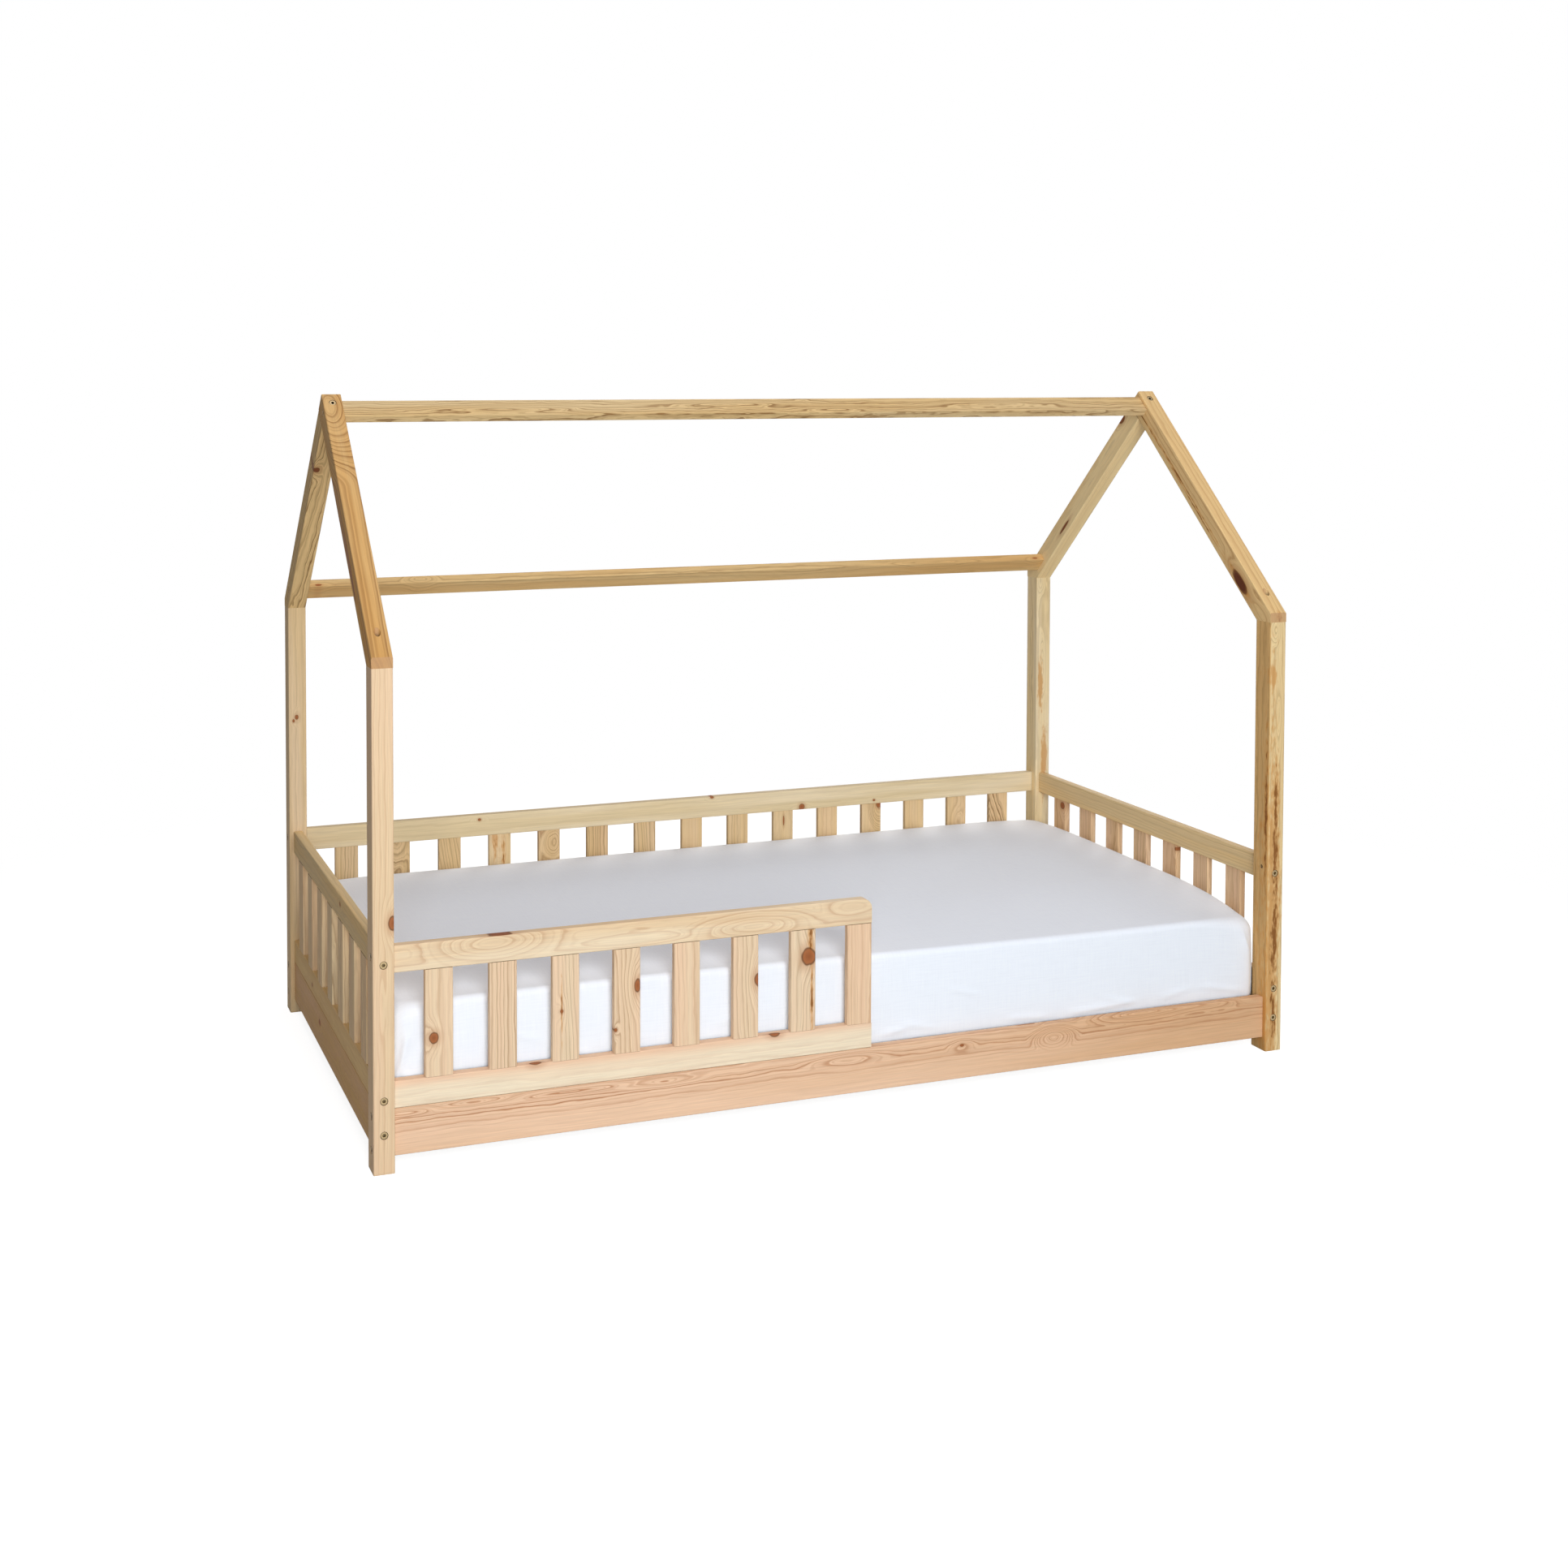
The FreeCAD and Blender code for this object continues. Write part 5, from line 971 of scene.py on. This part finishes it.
def sheet_folds(rings, sizes):
    """How far the cloth stands off the mattress: creases in front, pleats at the corners, waves and lumps.

    A crease is a hill of Gaussian section along a straight line, faded at its ends; a corner's pleats are a
    sine of the angle round it that grows towards the floor; the top carries slow waves of a few tenths of a
    millimetre, and low on the side are lumps of crossed sines. Places are in mm, heights shares of a fold.
    """
    x, y, z = (rings[..., i] / MM for i in range(3))
    stand = np.zeros_like(x)
    on_front = np.clip((-y - 430.0) / 15.0, 0.0, 1.0)
    for line in FRONT_CREASES:
        run = np.array([line.to_x - line.x, line.to_z - line.z])
        size = np.linalg.norm(run)
        run = run / size
        along = (x - line.x) * run[0] + (z - line.z) * run[1]
        off = (x - line.x) * run[1] - (z - line.z) * run[0]
        fade = np.clip(along / 30.0, 0, 1) * np.clip((size - along) / 40.0, 0, 1)
        stand += on_front * line.height * np.exp(-(off / line.width) ** 2) * eased(fade)
    corner_x = np.abs(x) - 888.0
    corner_y = np.abs(y) - 388.0
    near = np.clip(np.minimum(corner_x, corner_y) / 8.0, 0.0, 1.0)
    angle = np.arctan2(np.maximum(corner_y, 0.0), np.maximum(corner_x, 1e-6))
    depth = np.clip((300.0 - z) / 200.0, 0.0, 1.0) ** 1.5
    pleat = np.where(x > 0, 0.2, 0.55)
    stand += near * depth * pleat * (1 + np.sin(angle * 22.0 + np.sign(x) + 2 * np.sign(y)))
    on_top = np.clip((z - 285.0) / 12.0, 0.0, 1.0)
    slow = np.sin(x / 97.0 + 0.6 * np.sin(y / 71.0)) * np.sin(y / 83.0 + 1.1) + np.sin((x + y) / 151.0)
    stand += on_top * 0.12 * (1 + 0.5 * slow)
    low_side = np.clip((190.0 - z) / 60.0, 0.0, 1.0) * np.clip((z - 104.0) / 12.0, 0.0, 1.0)
    lumps = 1 + np.sin(x / 46.0 + np.sin(x / 130.0)) * np.cos(y / 52.0)
    stand += low_side * 0.28 * lumps
    return stand * sizes.fold


SoftBox = namedtuple("SoftBox", "name power tint place aim width")

# The lamps: name, power setting, tint, place and aim in metres, width in metres.
SOFT_BOXES = (
    SoftBox("front_soft_box", "key", (0.95, 1.0, 1.04), (-1.1, -5.1, 1.9), (0.0, 0.0, 0.6), 3.0),
    SoftBox("top_soft_box", "top", (1.0, 0.945, 0.965), (0.2, -0.4, 4.6), (0.0, 0.0, 0.0), 4.0),
    SoftBox("back_soft_box", "back", (0.95, 0.985, 1.0), (3.2, 4.2, 1.0), (0.0, 0.0, 0.6), 2.5),
)

# The camera: place in metres, tilt below level and turn from straight ahead in degrees, and the lens's shift.
CAMERA_PLACE = (-1.6711, -3.8396, 1.4585)
CAMERA_TILT = 2.1505
CAMERA_TURN = -19.0425
LENS_SHIFT = (0.1040, -0.2169)
SENSOR_WIDTH = 36.0

# The floor: half its width in metres, and how far it lies below the posts' feet.
FLOOR_REACH = 14.0
FLOOR_DROP = 0.3 * MM


def looked_at(tree):
    """One where the camera, a reflection or a view through glass meets the surface, else nought."""
    path = add(tree, "LightPath", out=None).outputs
    seen = add(tree, "Math", (path["Is Camera Ray"], path["Is Glossy Ray"]), operation="MAXIMUM")
    return add(tree, "Math", (seen, path["Is Transmission Ray"]), operation="MAXIMUM")


def floor_paint(settings):
    """Matt painted studio floor: white to the eye, darker only where the bed shades it."""
    made = bpy.data.materials.new("matt_floor_paint")
    tree = bare_tree(made)
    place = add(tree, "TexCoord", out="Object")
    away = add(tree, "VectorMath", (place,), "Value", operation="LENGTH")
    away = add(tree, "MapRange", {"Value": away, "From Min": 1.5, "From Max": 2.6}, **SMOOTH_STEP)
    dim = add(tree, "BsdfDiffuse", {"Color": (0.5, 0.5, 0.5)})
    glow = add(tree, "Emission", {"Color": WHITE, "Strength": 0.86})
    near = add(tree, "AddShader", (dim, glow))
    far = add(tree, "Emission", {"Color": WHITE, "Strength": 1.0})
    white = add(tree, "MixShader", (away, near, far))
    paint = add(tree, "BsdfDiffuse", {"Color": settings.floor})
    surface = add(tree, "MixShader", (looked_at(tree), paint, white))
    add(tree, "OutputMaterial", {"Surface": surface}, out=None)
    return made


def white_room(settings):
    """The studio's white walls: faint warm light from all sides, plain white to the eye."""
    world = bpy.data.worlds.new("white_room")
    tree = bare_tree(world)
    room = add(tree, "Background", {"Color": (1.0, 0.95, 0.89), "Strength": settings.ambient})
    white = add(tree, "Background", {"Color": WHITE, "Strength": 1.0})
    surface = add(tree, "MixShader", (looked_at(tree), room, white))
    add(tree, "OutputWorld", {"Surface": surface}, out=None)
    return world


def soft_box(scene, box):
    """One large soft lamp, turned so that it shines from its place towards its aim."""
    lamp = bpy.data.lights.new(box.name, "AREA")
    lamp.energy = getattr(scene.house_bed_stage, box.power)
    lamp.color = box.tint
    lamp.size = box.width
    stand = bpy.data.objects.new(box.name, lamp)
    x, y, z = np.array(box.aim) - np.array(box.place)
    stand.location = box.place
    stand.rotation_euler = (math.atan2(math.hypot(x, y), -z), 0.0, math.atan2(-x, y))
    scene.collection.objects.link(stand)


class HOUSEBED_OT_posts(bpy.types.Operator):
    """Dresses the four posts in planed pine"""

    bl_idname = "house_bed.posts"
    bl_label = "Posts"

    def execute(self, context):
        for end in ENDS:
            pine_board(context.scene, "post_" + end)
        return {"FINISHED"}


class HOUSEBED_OT_bed_rails(bpy.types.Operator):
    """Dresses the four bed rails, the ledgers and the base slats"""

    bl_idname = "house_bed.bed_rails"
    bl_label = "Bed rails and base"

    def execute(self, context):
        for side in SIDES:
            pine_board(context.scene, "bed_rail_" + side)
        for side in ("front", "back"):
            pine_board(context.scene, "ledger_" + side)
        pine_row(context.scene, "base_slats")
        return {"FINISHED"}


class HOUSEBED_OT_guards(bpy.types.Operator):
    """Dresses the guards: rails board by board, slats row by row"""

    bl_idname = "house_bed.guards"
    bl_label = "Guards"

    def execute(self, context):
        for side in SIDES:
            for rail in ("top", "bottom"):
                pine_board(context.scene, f"{side}_guard_{rail}_rail")
            pine_row(context.scene, f"{side}_guard_slats")
        return {"FINISHED"}


class HOUSEBED_OT_roof(bpy.types.Operator):
    """Dresses the rafters, the ridge beam and the eave beam"""

    bl_idname = "house_bed.roof"
    bl_label = "Roof frame"

    def execute(self, context):
        for end in ENDS:
            pine_board(context.scene, "rafter_" + end)
        for beam in ("ridge_beam", "eave_beam"):
            pine_board(context.scene, beam)
        return {"FINISHED"}


class HOUSEBED_OT_fittings(bpy.types.Operator):
    """Dresses bolts, screws, inserts and dowels"""

    bl_idname = "house_bed.fittings"
    bl_label = "Fittings"

    def execute(self, context):
        # Painted light and shade: three copies of the plating differ only in how strongly occlusion darkens
        # them; the long-rail bolts get a darker shaded copy, the end-rail bolts a lighter lit one, and other
        # heads a sunk one.
        steels = {
            "end_rail_bolts": plated_steel(context.scene, "lit", dull=0.2, bright=0.75),
            "long_rail_bolts": plated_steel(context.scene, "shaded", dull=0.85, bright=1.35),
        }
        sunk_steel = plated_steel(context.scene, "sunk", dull=0.5, bright=1.15)
        brass = turned_brass(context.scene)
        beech = turned_beech(context.scene)
        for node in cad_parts:
            if node.endswith(("_bolts", "_screws")):
                dress(node, steels.get(node, sunk_steel))
            elif node.endswith("_inserts"):
                dress(node, brass)
            elif node.endswith("_dowels"):
                dress(node, beech)
        return {"FINISHED"}


class HOUSEBED_OT_mattress(bpy.types.Operator):
    """Builds the mattress: a crowned, soft-edged pad in striped ticking"""

    bl_idname = "house_bed.mattress"
    bl_label = "Mattress"

    def execute(self, context):
        sizes = context.scene.house_bed_bedding
        low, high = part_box("mattress")
        inside = 0.8 * MM
        points, normals = outline(high.x - inside, high.y - inside, sizes.corner, spacing=20 * MM)
        rings, _, uv = bedding_form(low.z + inside, high.z - inside, points, normals, sizes)
        half = float(np.abs(rings[-1][:, 1]).max())
        floor = float(rings[-1][0, 2])
        base, base_uv = under_rings(rings[-1], uv[-1], reach=half * 0.97, steps=40, height=floor)
        # Quilting on the underside: the cover is drawn up along crossing rows of stitches, 140 mm apart.
        across = math.pi * base[..., 0] / (140 * MM)
        along = math.pi * base[..., 1] / (140 * MM)
        seam = np.minimum(np.abs(np.sin(across + along)), np.abs(np.sin(across - along)))
        base[..., 2] += 3.0 * MM * np.exp(-(seam / 0.16) ** 2)
        rings = np.concatenate([rings, base])
        piece = grid_mesh("ticking_mattress", rings, np.concatenate([uv, base_uv]), first=True, last=True)
        piece.data.materials.append(soft_ticking(context.scene))
        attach(piece, "bedding")
        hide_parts("mattress")
        return {"FINISHED"}


class HOUSEBED_OT_sheet(bpy.types.Operator):
    """Builds the fitted sheet: stretched over the mattress, pleated at the corners and tucked under"""

    bl_idname = "house_bed.sheet"
    bl_label = "Fitted sheet"

    def execute(self, context):
        sizes = context.scene.house_bed_bedding
        low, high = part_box("fitted_sheet")
        points, normals = outline(high.x, high.y, sizes.corner + 1.5 * MM, spacing=11.5 * MM)
        rings, away, uv = bedding_form(low.z, high.z, points, normals, sizes)
        stand = sheet_folds(rings, sizes)
        rings = rings + away * stand[..., None]
        # The cloth hangs loose at the right end, by a smooth step of the place along the bed, up to the rail.
        ease = eased((rings[..., 0] - (high.x - sizes.end_reach)) / sizes.end_reach)
        loose = rings[..., 0] + sizes.end_slack * ease
        rail_gap = 1.5 * MM
        rings[..., 0] = np.minimum(loose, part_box("bed_rail_right")[0].x - rail_gap)
        rings[..., 2] = np.maximum(rings[..., 2], low.z)
        tuck, tuck_uv = under_rings(rings[-1], uv[-1], reach=sizes.tuck, steps=6, height=low.z)
        rings = np.concatenate([rings, tuck])
        piece = grid_mesh("cotton_sheet", rings, np.concatenate([uv, tuck_uv]), first=True, last=False)
        piece.data.materials.append(white_cotton(context.scene))
        wall = piece.modifiers.new("cloth", "SOLIDIFY")
        wall.thickness = sizes.cloth
        wall.offset = -1.0
        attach(piece, "bedding")
        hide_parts("fitted_sheet")
        return {"FINISHED"}


class HOUSEBED_OT_stage(bpy.types.Operator):
    """Builds the studio: pale floor, white room, soft lights and the camera"""

    bl_idname = "house_bed.stage"
    bl_label = "Stage"

    def execute(self, context):
        scene = context.scene
        settings = scene.house_bed_stage
        corners = np.array([(-1, -1), (1, -1), (1, 1), (-1, 1)]) * FLOOR_REACH
        mesh = bpy.data.meshes.new("studio_floor")
        mesh.from_pydata([(x, y, -FLOOR_DROP) for x, y in corners], [], [(0, 1, 2, 3)])
        mesh.materials.append(floor_paint(settings))
        floor = bpy.data.objects.new("studio_floor", mesh)
        scene.collection.objects.link(floor)
        scene.world = white_room(settings)
        for box in SOFT_BOXES:
            soft_box(scene, box)

        lens = bpy.data.cameras.new("studio_camera")
        lens.sensor_width = SENSOR_WIDTH
        lens.lens = settings.lens
        lens.shift_x, lens.shift_y = LENS_SHIFT
        camera = bpy.data.objects.new("studio_camera", lens)
        camera.location = CAMERA_PLACE
        camera.rotation_euler = (math.radians(90.0 - CAMERA_TILT), 0.0, math.radians(CAMERA_TURN))
        scene.collection.objects.link(camera)
        scene.camera = camera
        scene.view_settings.view_transform = "Standard"
        return {"FINISHED"}


class HOUSEBED_PT_panel(bpy.types.Panel):
    """Lists the steps of dressing the bed"""

    bl_idname = "HOUSEBED_PT_panel"
    bl_label = "House bed"
    bl_space_type = "VIEW_3D"
    bl_region_type = "UI"
    bl_category = "House bed"

    def draw(self, context):
        for step in OPERATORS:
            self.layout.operator(step.bl_idname)


GROUPS = {
    "house_bed_pine": PineColours,
    "house_bed_grain": PineGrain,
    "house_bed_bedding": BeddingSizes,
    "house_bed_fittings": FittingColours,
    "house_bed_stage": StageSettings,
}
OPERATORS = (
    HOUSEBED_OT_stage,
    HOUSEBED_OT_posts,
    HOUSEBED_OT_bed_rails,
    HOUSEBED_OT_guards,
    HOUSEBED_OT_roof,
    HOUSEBED_OT_fittings,
    HOUSEBED_OT_mattress,
    HOUSEBED_OT_sheet,
)


def register():
    """Registers the property groups, the operators and the panel."""
    for name, group in GROUPS.items():
        bpy.utils.register_class(group)
        setattr(bpy.types.Scene, name, bpy.props.PointerProperty(type=group))
    for step in OPERATORS:
        bpy.utils.register_class(step)
    bpy.utils.register_class(HOUSEBED_PT_panel)


def unregister():
    """Takes everything that register added away again."""
    bpy.utils.unregister_class(HOUSEBED_PT_panel)
    for step in reversed(OPERATORS):
        bpy.utils.unregister_class(step)
    for name, group in reversed(GROUPS.items()):
        delattr(bpy.types.Scene, name)
        bpy.utils.unregister_class(group)


def main():
    """Registers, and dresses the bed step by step."""
    register()
    bpy.ops.house_bed.stage()
    bpy.ops.house_bed.posts()
    bpy.ops.house_bed.bed_rails()
    bpy.ops.house_bed.guards()
    bpy.ops.house_bed.roof()
    bpy.ops.house_bed.fittings()
    bpy.ops.house_bed.mattress()
    bpy.ops.house_bed.sheet()


if __name__ == "__main__":
    main()
